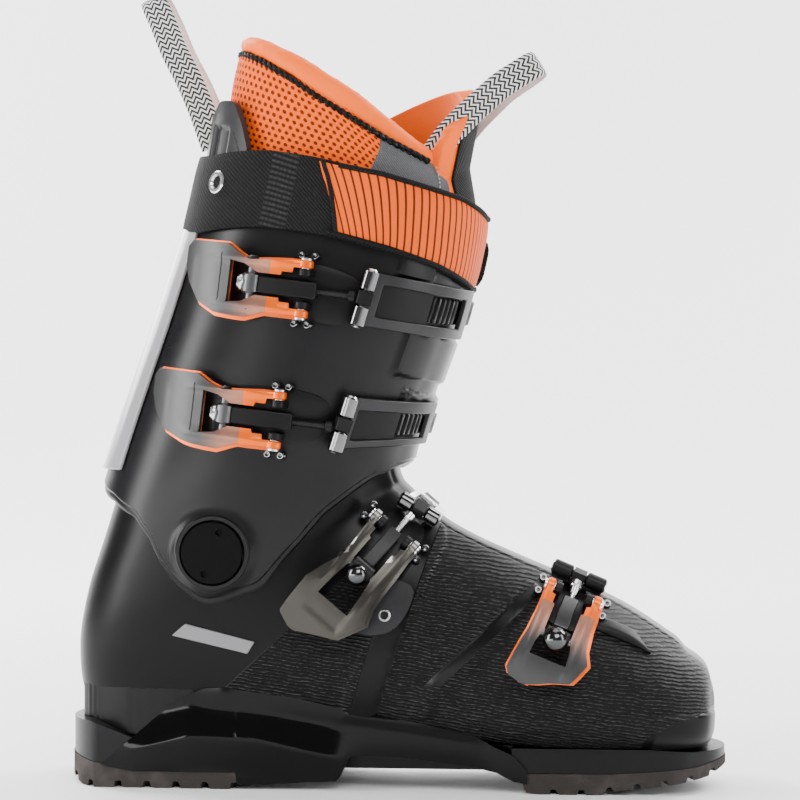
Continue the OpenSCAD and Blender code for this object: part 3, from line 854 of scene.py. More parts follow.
def cladding(side, name, node):
    """A glossy cover along the sole: a rounded shoulder, a steep face and a slanted crease."""
    x = np.unique(np.concatenate([span(-133, 63, 99), [-70.5, -69.5, -24, -22.5, -17.5]]))
    top = np.interp(x, *zip(*CLAD_TOP))
    low = np.interp(x, *zip(*CLAD_LOW))
    f = span(0, 1, 25)
    z = top[:, None] + (low - top)[:, None] * f[None, :]
    xx = np.broadcast_to(x[:, None], z.shape)
    skin_y = side_depth(xx, z)
    rise = 2.4 * ease(f / 0.16)[None, :] + 0.3
    foot = 36.0 - 0.8 * f[None, :] ** 3
    depth = np.maximum(skin_y + rise, np.minimum(foot, skin_y[:, :1] + rise))
    lug = np.array([heel_width()(v) for v in x])[:, None] + 0.9
    lug_top = profile(HEEL_LUG_TOP)(x, 0)[:, None] + 2
    beside_lug = (z < lug_top) & (x < -66)[:, None]
    depth = np.where(beside_lug, np.maximum(depth, lug), depth)
    wall = side_depth(x, np.full(len(x), WALL_TOP))[:, None] + 0.7
    depth = np.where((x < -90)[:, None] & (z < WALL_TOP), np.maximum(depth, wall), depth)
    depth = np.where((x > 36)[:, None], np.maximum(depth, 35.3), depth)
    for _ in range(4):
        depth[1:-1] = (depth[:-2] + 2 * depth[1:-1] + depth[2:]) / 4
        depth[:, 1:-1] = (depth[:, :-2] + 2 * depth[:, 1:-1] + depth[:, 2:]) / 4
    crease_z = np.interp(x, [-125, -90, -60, -20, 10], [16, 24, 23, 14, 14])[:, None]
    near = np.maximum(0, 1 - np.abs(z - crease_z) / 14)
    fade = ease((x + 128) / 20)[:, None] * ease((-8 - x) / 30)[:, None]
    depth = depth + 2.6 * near * fade
    under = np.minimum(depth - 1.6, np.maximum(27.2, depth - 1.6 - 9 * f[None, :] ** 6))
    pts = np.vstack([np.stack([xx, side * y, z], -1).reshape(-1, 3) for y in (depth, under)])
    obj = mesh_object(name, pts, grid_faces(len(x) - 1, 24, False), GLOSS)
    own(bevel(obj, 0.7, angle=45), "lower", "cladding", node)


def heel_plate():
    """A blank pale plate with slanted ends on the side of the heel, above the cladding."""
    corners = np.array([[-99, 70.5], [-92.5, 76], [-60.5, 68], [-64, 62.5]])
    u, v = np.meshgrid(span(0, 1, 13), span(0, 1, 6), indexing="ij")
    low = corners[0] + (corners[3] - corners[0]) * u[..., None]
    high = corners[1] + (corners[2] - corners[1]) * u[..., None]
    xz = low + (high - low) * v[..., None]
    x, z = xz[..., 0], xz[..., 1]
    y = side_depth(x, z, span(6.0, 12.0, 300), span(0.08, 0.40, 160))
    faces_y = [np.stack([x, -y - out, z], -1).reshape(-1, 3) for out in (1.1, -0.6)]
    obj = mesh_object("Heel_plate", np.vstack(faces_y), grid_faces(12, 5, False), PLATE)
    own(bevel(obj, 0.5), "lower", "spine_plastic")


def build_lower():
    own(lower_shell(), "lower", "shell", "lower_shell")
    for piece in lugs():
        own(piece, "lower", "shell")
    soles()
    cladding(-1, "Cladding_lateral", "chassis_lateral")
    cladding(1, "Cladding_medial", "chassis_medial")
    heel_plate()


# ---- Cuff ------------------------------------------------------------------------------------
# The cuff's outside stands WALL mm off the surface, and its inside less. Its lower edge is a t
# for each s, and its upper edge lies at the same t all round.
WALL, CUFF_INSIDE = 8.0, 3.6
CUFF_TOP = 19.6
CUFF_EDGE = ((0, 14), (0.1, 13.6), (0.15, 13.2), (0.18, 12.6), (0.2, 11.9), (0.22, 11.1),
             (0.24, 10.2), (0.27, 9.6), (0.31, 10.3), (0.34, 11), (0.4, 11.9), (0.5, 12.6))
# The pivot's place seen from the side, and the flat round it, in mm off the centre plane
PIVOT = (-77.4, 109.3)
PIVOT_FLAT = 55.0


def by_side(points):
    """A value that depends on the way round from the back to the front, the same on both sides."""
    s0, v = zip(*points)
    fine = span(0, 0.5, 401)
    values = np.interp(fine, s0, v)
    kernel = np.hanning(17)
    padded = np.concatenate([values[8:0:-1], values, values[-2:-10:-1]])
    soft = np.convolve(padded, kernel / kernel.sum(), "valid")
    return lambda s: np.interp(np.minimum(s % 1, 1 - s % 1), fine, soft)


def patch(t, s, t0, t1, s0, s1, height, soft_t=0.10, soft_s=0.006):
    """A raised area with soft edges."""
    inside_t = ease((t - t0) / soft_t) * ease((t1 - t) / soft_t)
    inside_s = ease((s - s0) / soft_s) * ease((s1 - s) / soft_s)
    return height * inside_t * inside_s


def cuff_relief(t, s, from_edge):
    """How far the cuff's flaps and bosses stand out; from_edge is in mm above the lower edge."""
    out = patch(t, s, 17.02, 18.15, 0.376, 0.60, 2.0, 0.12, 0.008)
    out = out + patch(t, s, 16.40, 16.75, 0.405, 0.60, 2.2, 0.10, 0.007)
    out = out + patch(t, s, 19.05, 19.7, 0.34, 0.40, 1.8)
    lap = 1.7 * ease((s - 0.44) / 0.05) * np.where(s < 0.565, 1.0, 0.0)
    rim = 0.9 * (1 - ease((from_edge - 3.4) / 0.7))
    return out + lap - rim


def cuff():
    """The cuff: one sleeve with raised flaps, a thin lower rim and flats round the pivots."""
    cols = 264
    s = ring_s(cols)
    low = by_side(CUFF_EDGE)(s)
    fine = span(0, 0.09, 14)
    f = np.concatenate([fine, span(0.09, 1, 84)[1:]])[:, None]
    t = low + (CUFF_TOP - low) * f
    ss = np.broadcast_to(s, t.shape)
    points = skin(t, ss)
    from_edge = np.linalg.norm(points - points[0], axis=-1)
    outer = layer(t, ss, WALL + cuff_relief(t, ss, from_edge) - (1 - ease(from_edge / 1.4)))
    inner = layer(t, ss, np.full(t.shape, CUFF_INSIDE))
    reach = np.hypot(outer[..., 0] - PIVOT[0], outer[..., 2] - PIVOT[1])
    pad = 1 - ease((reach - 15.5) / 5.5)
    flat = np.sign(outer[..., 1]) * np.maximum(np.abs(outer[..., 1]), PIVOT_FLAT)
    outer[..., 1] += (flat - outer[..., 1]) * pad
    pts = np.vstack([outer.reshape(-1, 3), inner.reshape(-1, 3)])
    uv = surface_uv(t, ss, 0)
    obj = mesh_object("Cuff", pts, grid_faces(len(t) - 1, cols, True), CUFF, np.vstack([uv, uv]))
    own(obj, "cuff", "cuff_plastic", "cuff")


def pivots():
    """A raised ring round each pivot; the bolt's own node stays in sight."""
    for side, word in ((-1, "lateral"), (1, "medial")):
        centre = np.array([PIVOT[0], side * (PIVOT_FLAT - 0.4), PIVOT[1]])
        ring = lathe(f"Pivot_ring_{word}", [(13.2, 0), (17.0, 0), (17.0, 1.2), (16.4, 1.9),
                                            (14.9, 1.9), (14.3, 1.2), (14.2, 0.4)],
                     centre, (0, side, 0), CUFF, 64)
        own(ring, "cuff", "cuff_plastic")
        dress(f"pivot_{word}", CAP_BLACK)


def spine():
    """The pale strip up the back of the cuff, and the dark cap above it."""
    f = span(0, 1, 60)[:, None]
    t = 14.2 + (19 - 14.2) * f
    a = span(-1, 1, 17)[None, :]
    s = 0.046 + 0.060 * a * (1 - 0.12 * f) + 0.004 * f
    out = WALL + 2.0 + 0.5 * (1 - a ** 2) + 0 * f
    strip = surface_piece("Spine_insert", t, s, out, WALL + 0.3, PALE)
    own(bevel(strip, 0.6), "cuff", "spine_plastic", "spine_insert")
    s2 = 0.02 + 0.058 * a
    t2 = 18.95 + 0.55 * f[::4]
    cap = surface_piece("Spine_cap", t2, s2, WALL + 1.6, WALL + 0.1, GREY)
    own(bevel(cap, 0.6), "cuff", "spoiler_plastic")


SPOILER_TOP = by_side([(0, 21.35), (0.06, 21.45), (0.085, 21.75), (0.12, 21.8), (0.14, 21.4),
                       (0.16, 20.7), (0.5, 20.7)])


def spoiler():
    """The dark shield behind the liner, with two sunk windows and two shallow grooves."""
    s = span(-0.155, 0.155, 90)[None, :]
    f = span(0, 1, 40)[:, None]
    t = 19.8 + (SPOILER_TOP(s) - 19.8) * f
    side = np.abs(s)
    window = patch(t, side, 20.3, 21.25, 0.070, 0.118, 2.2, 0.06, 0.004)
    rib = patch(t, side, 20.0, 21.5, 0.02, 0.05, -0.8, 0.1, 0.005)
    out = 7.6 - window + rib + 0 * t
    obj = surface_piece("Spoiler", t, s, out, 3.8, [GREY, BLACK])

    def in_window(k, poly):
        i, j = divmod(k // 2, 89)
        return k % 2 == 0 and i < 39 and window[i + 1, j + 1] > 1.5

    pick_material(obj, in_window)
    own(obj, "cuff", "spoiler_plastic", "spoiler")


# ---- Liner -----------------------------------------------------------------------------------
def foot_liner():
    """The liner round the foot, quilted on the inside."""
    cols = 72
    s = ring_s(cols)
    f = span(0, 1, 70)[:, None]
    top = top_edge(s, 14.3, 12.9)
    t = 1.9 + (top - 1.9) * f
    ss = np.broadcast_to(s, t.shape)
    puff = 0.5 * np.sin(t * 5.0) * np.sin(TAU * 6 * ss)
    outer = toe_rows(1.9, -6.9, cols, 6) + list(layer(t, ss, -6.9 + 0 * t))
    t2 = 2.8 + (top - 2.8) * f
    inner = toe_rows(2.8, -10.9, cols, 6) + list(layer(t2, ss, -10.9 + puff))
    faces = grid_faces(len(outer) - 1, cols, True)
    obj = mesh_object("Liner_foot", np.vstack(outer + inner), faces, LINING)
    own(obj, "lower", "liner_fabric", "liner_foot")


LEG_TOP = by_side([(0, 22.5), (0.25, 22.4), (0.32, 22.0), (0.4, 21.8), (0.5, 21.9)])
LEG_LOW = by_side([(0, 15.2), (0.5, 15.9)])


def leg_liner():
    """The black sleeve of the liner round the leg, with a seam and soft folds inside."""
    s = ring_s(144)
    f = span(0, 1, 80)[:, None]
    t = LEG_LOW(s) + (LEG_TOP(s) - LEG_LOW(s)) * f
    ss = np.broadcast_to(s, t.shape)
    seam = 0.8 * np.exp(-((t - 18.2) / 0.07) ** 2)
    inner = -11.3 + 0.9 * np.sin(TAU * 5 * ss) * ease((t - 16) / 2) + seam
    body = surface_piece("Liner_leg", t, ss, np.full(t.shape, -2.6), inner, LINING, wrap=True)
    own(body, "cuff", "liner_fabric", "liner_leg")


def mesh_panel():
    """Orange mesh under the roll, round the back and both sides."""
    end = 0.315
    s = span(-end, end, 160)[None, :]
    f = span(0, 1, 50)[:, None]
    t = 20.0 + (LEG_TOP(s) + 0.25 - 20.0) * f
    swell = 1.1 * np.sin(math.pi * f) ** 0.6
    out = -2.2 + (1.0 + swell) * ease((end - np.abs(s)) / 0.012)
    panel = surface_piece("Liner_mesh_panel", t, s, out, -2.7, MESH)
    raise_edge(panel, f, s)
    own(panel, "cuff", "collar_foam")


def front_panels():
    """Grey cloth in front of the mesh on both sides, with a slanted rear edge and a seam."""
    for sign, word in ((1, "lateral"), (-1, "medial")):
        f = span(0, 1, 40)[:, None]
        g = span(0, 1, 60)[None, :]
        rear = 0.255 + 0.050 * f
        s = rear + (0.452 - rear) * g
        t = 19.9 + (LEG_TOP(s) + 0.42 - 19.9) * f
        flat = ease((s - rear) / 0.012) * ease((0.452 - s) / 0.01)
        stitch = 0.5 * np.exp(-((s - 0.405) / 0.0035) ** 2)
        out = -2.0 + 2.2 * flat * (0.6 + 0.4 * np.sin(math.pi * f)) - stitch
        piece = surface_piece(f"Liner_front_panel_{word}", t, sign * s, out, -2.6, GREY_CLOTH)
        own(piece, "cuff", "liner_fabric")
        stitches(f"Liner_stitches_{word}", sign * 0.405, 20.9, 22.1, 0.4)


def raise_edge(obj, f, s):
    """Draws the upper part of the panel up to the roll, which stands higher round the back."""
    lift = np.maximum(COLLAR_TOP(s) - COLLAR_SIZE(s) - 0.4, 0) * ease((f - 0.45) / 0.55)
    rise = np.tile(lift.ravel(), 2)
    for v, dz in zip(obj.data.vertices, rise):
        v.co.z += float(dz) * MM


def stitches(name, s, t0, t1, out, count=11):
    """A row of short thread stitches up the surface."""
    parts = []
    step = (t1 - t0) / count
    for k in range(count):
        ends = [layer(t0 + step * (k + f), s, out + 0.35 * math.sin(math.pi * g))
                for f, g in ((0.15, 0), (0.4, 0.5), (0.65, 1))]
        parts.append(tube(f"{name}_{k}", ends, 0.32, THREAD, 6))
    own(join(name, parts), "cuff", "liner_fabric")


# The roll round the top of the liner: its middle as a t, its half height, and how far its top
# stands above that middle, in mm
COLLAR_MID = by_side([(0, 22.93), (0.2, 22.95), (0.27, 22.85), (0.33, 22.7), (0.40, 22.5),
                      (0.5, 22.35)])
COLLAR_SIZE = by_side([(0, 4.3), (0.08, 4.6), (0.14, 4.9), (0.2, 5.8), (0.26, 6.6), (0.33, 6.3),
                       (0.40, 5.6), (0.5, 5.0)])
COLLAR_TOP = by_side([(0, 8.5), (0.08, 10.1), (0.2, 10.75), (0.26, 9.6), (0.33, 7.4), (0.40, 6.3),
                      (0.5, 5.6)])


def collar_section(s):
    """Centre, up and outward directions of the roll, and its half height and half depth."""
    t = float(COLLAR_MID(s))
    out = outward(min(t, 22.9), s)
    along = skin(t, s + 0.003) - skin(t, s - 0.003)
    along /= np.linalg.norm(along)
    up = np.cross(along, out)
    if up[2] < 0:
        up = -up
    size = float(COLLAR_SIZE(s))
    centre = layer(t, s, -5.2) + up * (float(COLLAR_TOP(s)) - size)
    return centre, up, out, size, 6.4


def collar_roll():
    """A soft foam roll round the top of the liner, open in front where the tongue stands."""
    around = 28
    s_values = span(-0.452, 0.452, 150)
    pts = []
    for k, s in enumerate(s_values):
        centre, up, out, tall, deep = collar_section(s)
        end = min(k, len(s_values) - 1 - k)
        shrink = math.sqrt(min(1.0, (end + 0.4) / 5.0))
        pinch = 1 - 0.10 * math.exp(-((abs(s) - 0.145) / 0.006) ** 2)
        for j in range(around):
            a = TAU * j / around
            c, w = math.cos(a), math.sin(a)
            y = signed_power(c, 0.85) * deep * shrink * pinch
            z = signed_power(w, 0.8) * tall * shrink * pinch
            pts.append(centre + out * y + up * z)
    obj = mesh_object("Liner_collar", pts, ring_faces(len(s_values), around), FOAM)
    inflate(obj, 4.0)
    obj.modifiers.new("subdivision", "SUBSURF").levels = 1
    settle(obj)
    smooth(obj, 60)
    own(obj, "cuff", "collar_foam", "liner_collar")


def inflate(obj, pressure, cap_mm=4.0, frames=20):
    """Lets the piece swell as cloth under pressure, then fixes the result in its mesh."""
    remesh = obj.modifiers.new("remesh", "REMESH")
    remesh.mode = "VOXEL"
    remesh.voxel_size = 0.0032
    settle(obj)
    start = np.empty(len(obj.data.vertices) * 3)
    obj.data.vertices.foreach_get("co", start)
    cloth = obj.modifiers.new("cloth", "CLOTH")
    cloth.settings.use_pressure = True
    cloth.settings.uniform_pressure_force = pressure
    cloth.settings.effector_weights.gravity = 0.0
    cloth.settings.tension_stiffness = 30
    cloth.settings.bending_stiffness = 2.0
    cloth.point_cache.frame_start = 1
    cloth.point_cache.frame_end = frames
    scene = bpy.context.scene
    for f in range(1, frames + 1):
        scene.frame_set(f)
    settle(obj)
    scene.frame_set(1)
    end = np.empty(len(start))
    obj.data.vertices.foreach_get("co", end)
    move = (end - start).reshape(-1, 3)
    far = np.linalg.norm(move, axis=1, keepdims=True)
    move *= np.minimum(1, cap_mm * MM / np.maximum(far, 1e-9))
    obj.data.vertices.foreach_set("co", (start.reshape(-1, 3) + move).ravel())
    obj.data.materials.clear()
    obj.data.materials.append(FOAM)
    obj.data.update()


PIPING_TWIST = 6.5  # length of one turn of the two cords, in mm


def piping():
    """Two twisted black cords under the roll."""
    s_values = span(-0.40, 0.40, 420)
    core = []
    for s in s_values:
        centre, up, out, tall, deep = collar_section(s)
        core.append(centre - up * (tall * 0.86 + 0.8) + out * (deep * 0.62 + 0.6))
    core = np.array(core)
    strands = []
    steps = run_length(core)
    for phase in (0, math.pi):
        pts = []
        for k, s in enumerate(s_values):
            _, up, out, _, _ = collar_section(s)
            a = steps[k] * TAU / PIPING_TWIST + phase
            pts.append(core[k] + 0.72 * (math.cos(a) * up + math.sin(a) * out))
        strands.append(tube(f"Piping_{int(phase)}", pts, 1.0, CORD, 8))
    own(join("Liner_piping", strands), "cuff", "liner_fabric")


# Lateral and medial edges of the tongue, and the height of its lower end, in mm
TONGUE_HALF = (-29.0, 46.0)
TONGUE_LOW = 250


def tongue_face(y, f):
    """How far forward the tongue's face lies: it wraps further back on the medial side."""
    crown = np.interp(TONGUE_LOW + 68 * f, [250, 271, 286, 307, 319], [38, 35.5, 33, 37, 40])
    lateral = (np.minimum(y, 0) / 30) ** 2 * (11 + 3 * f)
    medial = (np.maximum(y, 0) / 43) ** 2 * (32 + 22 * f)
    return crown - lateral - medial


def tongue_sheet(name, y0, y1, f1, front, back, rows, cols, material, edge_mm):
    """A padded sheet that follows the tongue between two widths."""
    f = span(0, f1, rows + 1)[:, None]
    g = span(0, 1, cols + 1)[None, :]
    narrow = 1 - 0.10 * ease((f - 0.8) / 0.2)
    y = (y0 + (y1 - y0) * g) * narrow
    top = (317 + 8 * ease((y + 4) / 18) - 18 * (np.maximum(y - 14, 0) / 32) ** 2
           - 14 * ease((-y - 6) / 20))
    z = TONGUE_LOW + (top - TONGUE_LOW) * f
    x = tongue_face(y, f)
    swell = np.sqrt(np.clip(1 - np.abs(2 * g - 1) ** 4, 0, 1)) * f
    outer = np.stack([x + front, y, z], -1).reshape(-1, 3)
    inner = np.stack([x - back[0] - back[1] * swell, y * 0.97, z - 1.0 * f], -1).reshape(-1, 3)
    uv = np.stack([y, z], -1).reshape(-1, 2)
    obj = mesh_object(name, np.vstack([outer, inner]), grid_faces(rows, cols, False), material,
                      np.vstack([uv, uv]))
    settle(bevel(obj, edge_mm, 4))
    smooth(obj, 70)
    return obj


def tongue():
    """The padded tongue in front of the shin: a black face with an orange lining."""
    lining = tongue_sheet("Liner_tongue", *TONGUE_HALF, 1.0, 0.0, (4.5, 4.5), 44, 48, FOAM, 2.2)
    own(lining, "cuff", "liner_fabric", "liner_tongue")
    cover = tongue_sheet("Tongue_cover", -21, 24, 0.86, 1.5, (-0.3, 0.0), 36, 30, TWILL, 0.6)
    own(cover, "cuff", "liner_fabric")


# ---- Pull loops ------------------------------------------------------------------------------
def run_length(points):
    """Distance along a path at each of its points."""
    return np.concatenate([[0], np.cumsum(np.linalg.norm(np.diff(points, axis=0), axis=1))])


def rounded_path(path_xz, count):
    """Evenly spaced points along a path with its corners rounded."""
    base = np.asarray(path_xz, float)
    lengths = run_length(base)
    fine = span(0, lengths[-1], count)
    rise = np.stack([np.interp(fine, lengths, base[:, k]) for k in (0, 1)], -1)
    for _ in range(12):
        rise[1:-1] = (rise[:-2] + 2 * rise[1:-1] + rise[2:]) / 4
    return rise


def ribbon(name, path_xz, half_gap, width, node, flare=0.0):
    """A band of webbing that goes up on one side and comes down on the other."""
    steps = 60
    rise = rounded_path(path_xz, steps)
    run = np.gradient(rise, axis=0)
    run /= np.linalg.norm(run, axis=1, keepdims=True)
    across = np.stack([run[:, 1], -run[:, 0]], -1)
    centre, wide, normal = [], [], []
    for k in range(steps):
        f = k / steps
        gap = half_gap * (1 - 0.25 * f ** 2 + flare * (1 - f) ** 2)
        centre.append([rise[k, 0], -gap, rise[k, 1]])
        wide.append([across[k, 0], 0, across[k, 1]])
        normal.append([0, -1, 0])
    top, ahead, side = rise[-1], run[-1], across[-1]
    gap = half_gap * 0.75
    for a in span(0, math.pi, 26)[1:-1]:
        lift = 0.75 * gap * math.sin(a)
        centre.append([top[0] + ahead[0] * lift, -gap * math.cos(a), top[1] + ahead[1] * lift])
        wide.append([side[0], 0, side[1]])
        normal.append([ahead[0] * math.sin(a), -math.cos(a), ahead[1] * math.sin(a)])
    for k in range(steps - 1, -1, -1):
        centre.append([centre[k][0], -centre[k][1], centre[k][2]])
        wide.append(wide[k])
        normal.append([0, 1, 0])
    centre, wide, normal = map(np.array, (centre, wide, normal))
    along = run_length(centre)
    g = span(-0.5, 0.5, 15)
    outer, inner, uv = [], [], []
    for k in range(len(centre)):
        for w in g:
            edge = 1 - (2 * abs(w)) ** 6
            outer.append(centre[k] + wide[k] * w * width + normal[k] * (0.5 + 0.5 * edge))
            inner.append(centre[k] + wide[k] * w * width - normal[k] * (0.5 + 0.4 * edge))
            uv.append((w * width, along[k]))
    obj = mesh_object(name, outer + inner, grid_faces(len(centre) - 1, len(g) - 1, False),
                      [CHEVRON, PINK], uv + uv)
    pick_material(obj, lambda k, poly: min(poly.vertices) >= len(outer))
    own(obj, "cuff", "loop_webbing", node)


def loops():
    ribbon("Loop_rear", [(-84, 296), (-90, 313), (-96, 327), (-104, 342), (-110, 357),
                         (-112, 361)], 13.5, 12.5, "rear_loop")
    ribbon("Loop_tongue", [(19, 289), (26, 300), (36, 311), (50, 324), (61, 331)], 12.0, 12.5,
           "tongue_loop", 1.1)


# ---- Power strap -----------------------------------------------------------------------------
STRAP_TOP = by_side([(0, 20.45), (0.1, 20.55), (0.19, 20.95), (0.24, 21.08), (0.3, 21.2),
                     (0.41, 21.2), (0.5, 21.0)])
STRAP_LOW = by_side([(0, 18.75), (0.11, 18.85), (0.2, 19.3), (0.26, 19.48), (0.32, 19.5),
                     (0.39, 19.45), (0.5, 19.2)])


def strap_height(s, f, inset=0.0):
    """The t at a share f of the strap's width."""
    low, high = STRAP_LOW(s) + inset, STRAP_TOP(s) - inset
    return low + (high - low) * f


def strap_band():
    """The strap itself, closed round the cuff, with a coarser stretch beside the rivet."""
    cols = 280
    s = ring_s(cols)
    f = span(0, 1, 26)[:, None]
    t = strap_height(s, f)
    out = 11.0 - 0.7 * np.abs(2 * f - 1) ** 4 + 0 * t
    main = surface_piece("Power_strap", t, s, out, 8.4, [TWILL, COARSE], wrap=True)
    pick_material(main, lambda k, poly: 0.196 < (min(poly.vertices) % cols) / cols < 0.222)
    own(main, "cuff", "strap_webbing", "power_strap")


def strap_panel():
    """The printed panel with a slanted start, and the bindings along its edges."""
    f = span(0, 1, 26)[:, None]
    s = span(0.255, 0.535, 130)[None, :]
    ss = s + 0.022 * (0.5 - f) * (1 - ease((s - 0.255) / 0.1))
    out = 12.3 - 0.5 * np.abs(2 * f - 1) ** 6 + 0 * ss
    printed = surface_piece("Strap_print", strap_height(s, f, 0.10), ss, out, 10.6, PRINT)
    own(printed, "cuff", "strap_webbing")
    for word, edge, shift in (("top", STRAP_TOP, -0.07), ("low", STRAP_LOW, 0.07)):
        pts = [layer(float(edge(v)) + shift, v, 11.9) for v in span(0.258, 0.535, 120)]
        own(tube(f"Strap_binding_{word}", pts, 1.25, TWILL, 10), "cuff", "strap_webbing")
    pts = [layer(float(strap_height(0.258, v)), 0.257 + 0.022 * (0.5 - v), 12.0)
           for v in span(0.03, 0.97, 24)]
    own(tube("Strap_binding_end", pts, 1.1, TWILL, 10), "cuff", "strap_webbing")


def strap_end():
    """The free end, laid over the strap on the medial side."""
    f = span(0, 1, 20)[:, None]
    s = span(0.53, 0.815, 90)[None, :]
    low, high = 19.42, 20.48
    corner = 0.10 * (ease((0.545 - s) / 0.015) + ease((s - 0.80) / 0.015))
    t = low + corner + (high - low - 2 * corner) * f
    out = 14.8 - 0.8 * np.abs(2 * f - 1) ** 6 + 0 * t
    own(surface_piece("Strap_end", t, s, out, 11.7, TWILL), "cuff", "strap_webbing", "strap_end")


def strap_rivet():
    p, n = layer(20.0, 0.125, 11.2), outward(20.0, 0.125)
    turned = [(5.2, 0), (5.2, 0.8), (4.6, 1.3), (3.4, 1.3), (2.9, 0.6), (2.7, 0.2)]
    ring = lathe("Strap_rivet", turned, p - n * 0.6, n, SILVER, 40)
    own(ring, "cuff", "bright_metal", "strap_rivet")


def build_cuff():
    cuff()
    pivots()
    spine()
    spoiler()
    foot_liner()
    leg_liner()
    mesh_panel()
    front_panels()
    collar_roll()
    piping()
    tongue()
    loops()
    strap_band()
    strap_panel()
    strap_end()
    strap_rivet()


# ---- Buckles ---------------------------------------------------------------------------------
# In mm, degrees, t and s. As in the CAD model: the hinge and how far it stands off the shell, the
# pitch of the pull and its turn about the hinge, the radius of the lever's curve and its length,
# the wall it stands on, and the catch's middle, half height, start and slant. Then the base
# plate's middle and half sizes and how far it stands off, and half the length of the barrel.
Buckle = namedtuple("Buckle", "hinge lift pitch yaw radius length wall t half s slant "
                              "base_t base_tall base_s base_long base_out barrel_half")
BUCKLES = [
    Buckle((-34.5, -67, 227), 6.8, -7, -15, 66, 56, 8.0, 18.45, 0.55, 0.31, 1.5,
           18.3, 0.56, 0.262, 0.050, 0.0, 4.7),
    Buckle((-47, -64.5, 169), 7.4, -7, -14, 66, 57, 8.0, 15.5, 0.85, 0.33, 1.5,
           15.5, 0.76, 0.268, 0.052, 0.0, 4.7),
    Buckle((3.1, -38, 118.2), 6, 50, 11, 70, 61, 0.0, 7.9, 0.8, 0.42, 0,
           7.95, 0.80, 0.370, 0.055, 0.4, 5.8),
    Buckle((84.2, -42.6, 90.9), 9.7, 68, 22, 46, 46, 0.0, 3.95, 0.42, 0.43, 0,
           3.98, 0.44, 0.372, 0.058, 1.0, 5.9)]
# Side outlines of the levers from the hinge back: distance, lower edge, upper edge
UPPER_LEVER = [(-3, -12.4, 12.6), (6, -12.4, 12.6), (15, -12.4, 11.8), (24, -15.6, 10.8),
               (29, -15.6, 13.2), (35, -15.2, 17), (39, -14.8, 17), (48.5, -10.5, 17),
               (55, -2, 17), (58, 5, 14)]
LOWER_LEVER = [(-3, -12.4, 12.6), (6, -12.4, 12.6), (15, -12.4, 11.8), (24, -16, 11.2),
               (30, -15.8, 13.2), (37, -15.2, 17), (41, -14.4, 17), (52, -10.5, 17),
               (59, -2, 17), (62, 5, 14)]
STEP_LEVER = [(-3, -12.8, 12), (6, -12.8, 11.6), (17, -13.6, 10.8), (26, -14, 11.6),
              (33, -14.6, 14.5), (41, -17.6, 17), (54.5, -11, 16.8), (61, 1.2, 16.4),
              (64, 6.2, 9.6)]
FORE_LEVER = [(-3, -13, 12.6), (5, -13, 12.6), (15, -13.4, 12.8), (24, -14.6, 13.4),
              (30, -17.6, 14.4), (36, -15.4, 15.2), (40, -13.5, 15.6), (43, -5, 16),
              (46, 1, 14), (47.5, 5, 8)]
LEVER_OUTLINES = [UPPER_LEVER, LOWER_LEVER, STEP_LEVER, FORE_LEVER]
# Half widths of the windows between the arms, at distances from the hinge
CUFF_WINDOW = [(-3, 9.2), (4.2, 9.2), (4.6, 6.8), (9, 6.8), (9.5, 5.1), (20, 5.1), (26, 8.4),
               (33, 9.4)]
STEP_WINDOW = [(-3, 9.2), (4.2, 9.2), (4.6, 7.4), (9, 7.4), (9.5, 6.2), (24, 6.2), (34, 7.8),
               (43, 8.4)]
FORE_WINDOW = [(-3, 9.2), (4.2, 9.2), (4.6, 7.4), (9, 7.4), (9.5, 6.3), (22, 6.3), (28, 8),
               (34, 8.6)]
WINDOWS = [CUFF_WINDOW, CUFF_WINDOW, STEP_WINDOW, FORE_WINDOW]
# The barrel's place from the hinge, along the pull and inwards, and the s of the catches' ends
BARREL = (-23.0, -5.5)
CATCH_END = 0.478


def to_world(b, v):
    """From a buckle's own frame: along the pull, inwards, and along the hinge."""
    v = np.asarray(v, float)
    yaw, pitch = math.radians(b.yaw), math.radians(b.pitch)
    x = v[..., 0] * math.cos(yaw) - v[..., 1] * math.sin(yaw)
    y = v[..., 0] * math.sin(yaw) + v[..., 1] * math.cos(yaw)
    z = v[..., 2]
    return np.stack([x * math.cos(pitch) - z * math.sin(pitch), y,
                     x * math.sin(pitch) + z * math.cos(pitch)], -1) + b.hinge


def direction(b, v):
    return to_world(b, v) - b.hinge


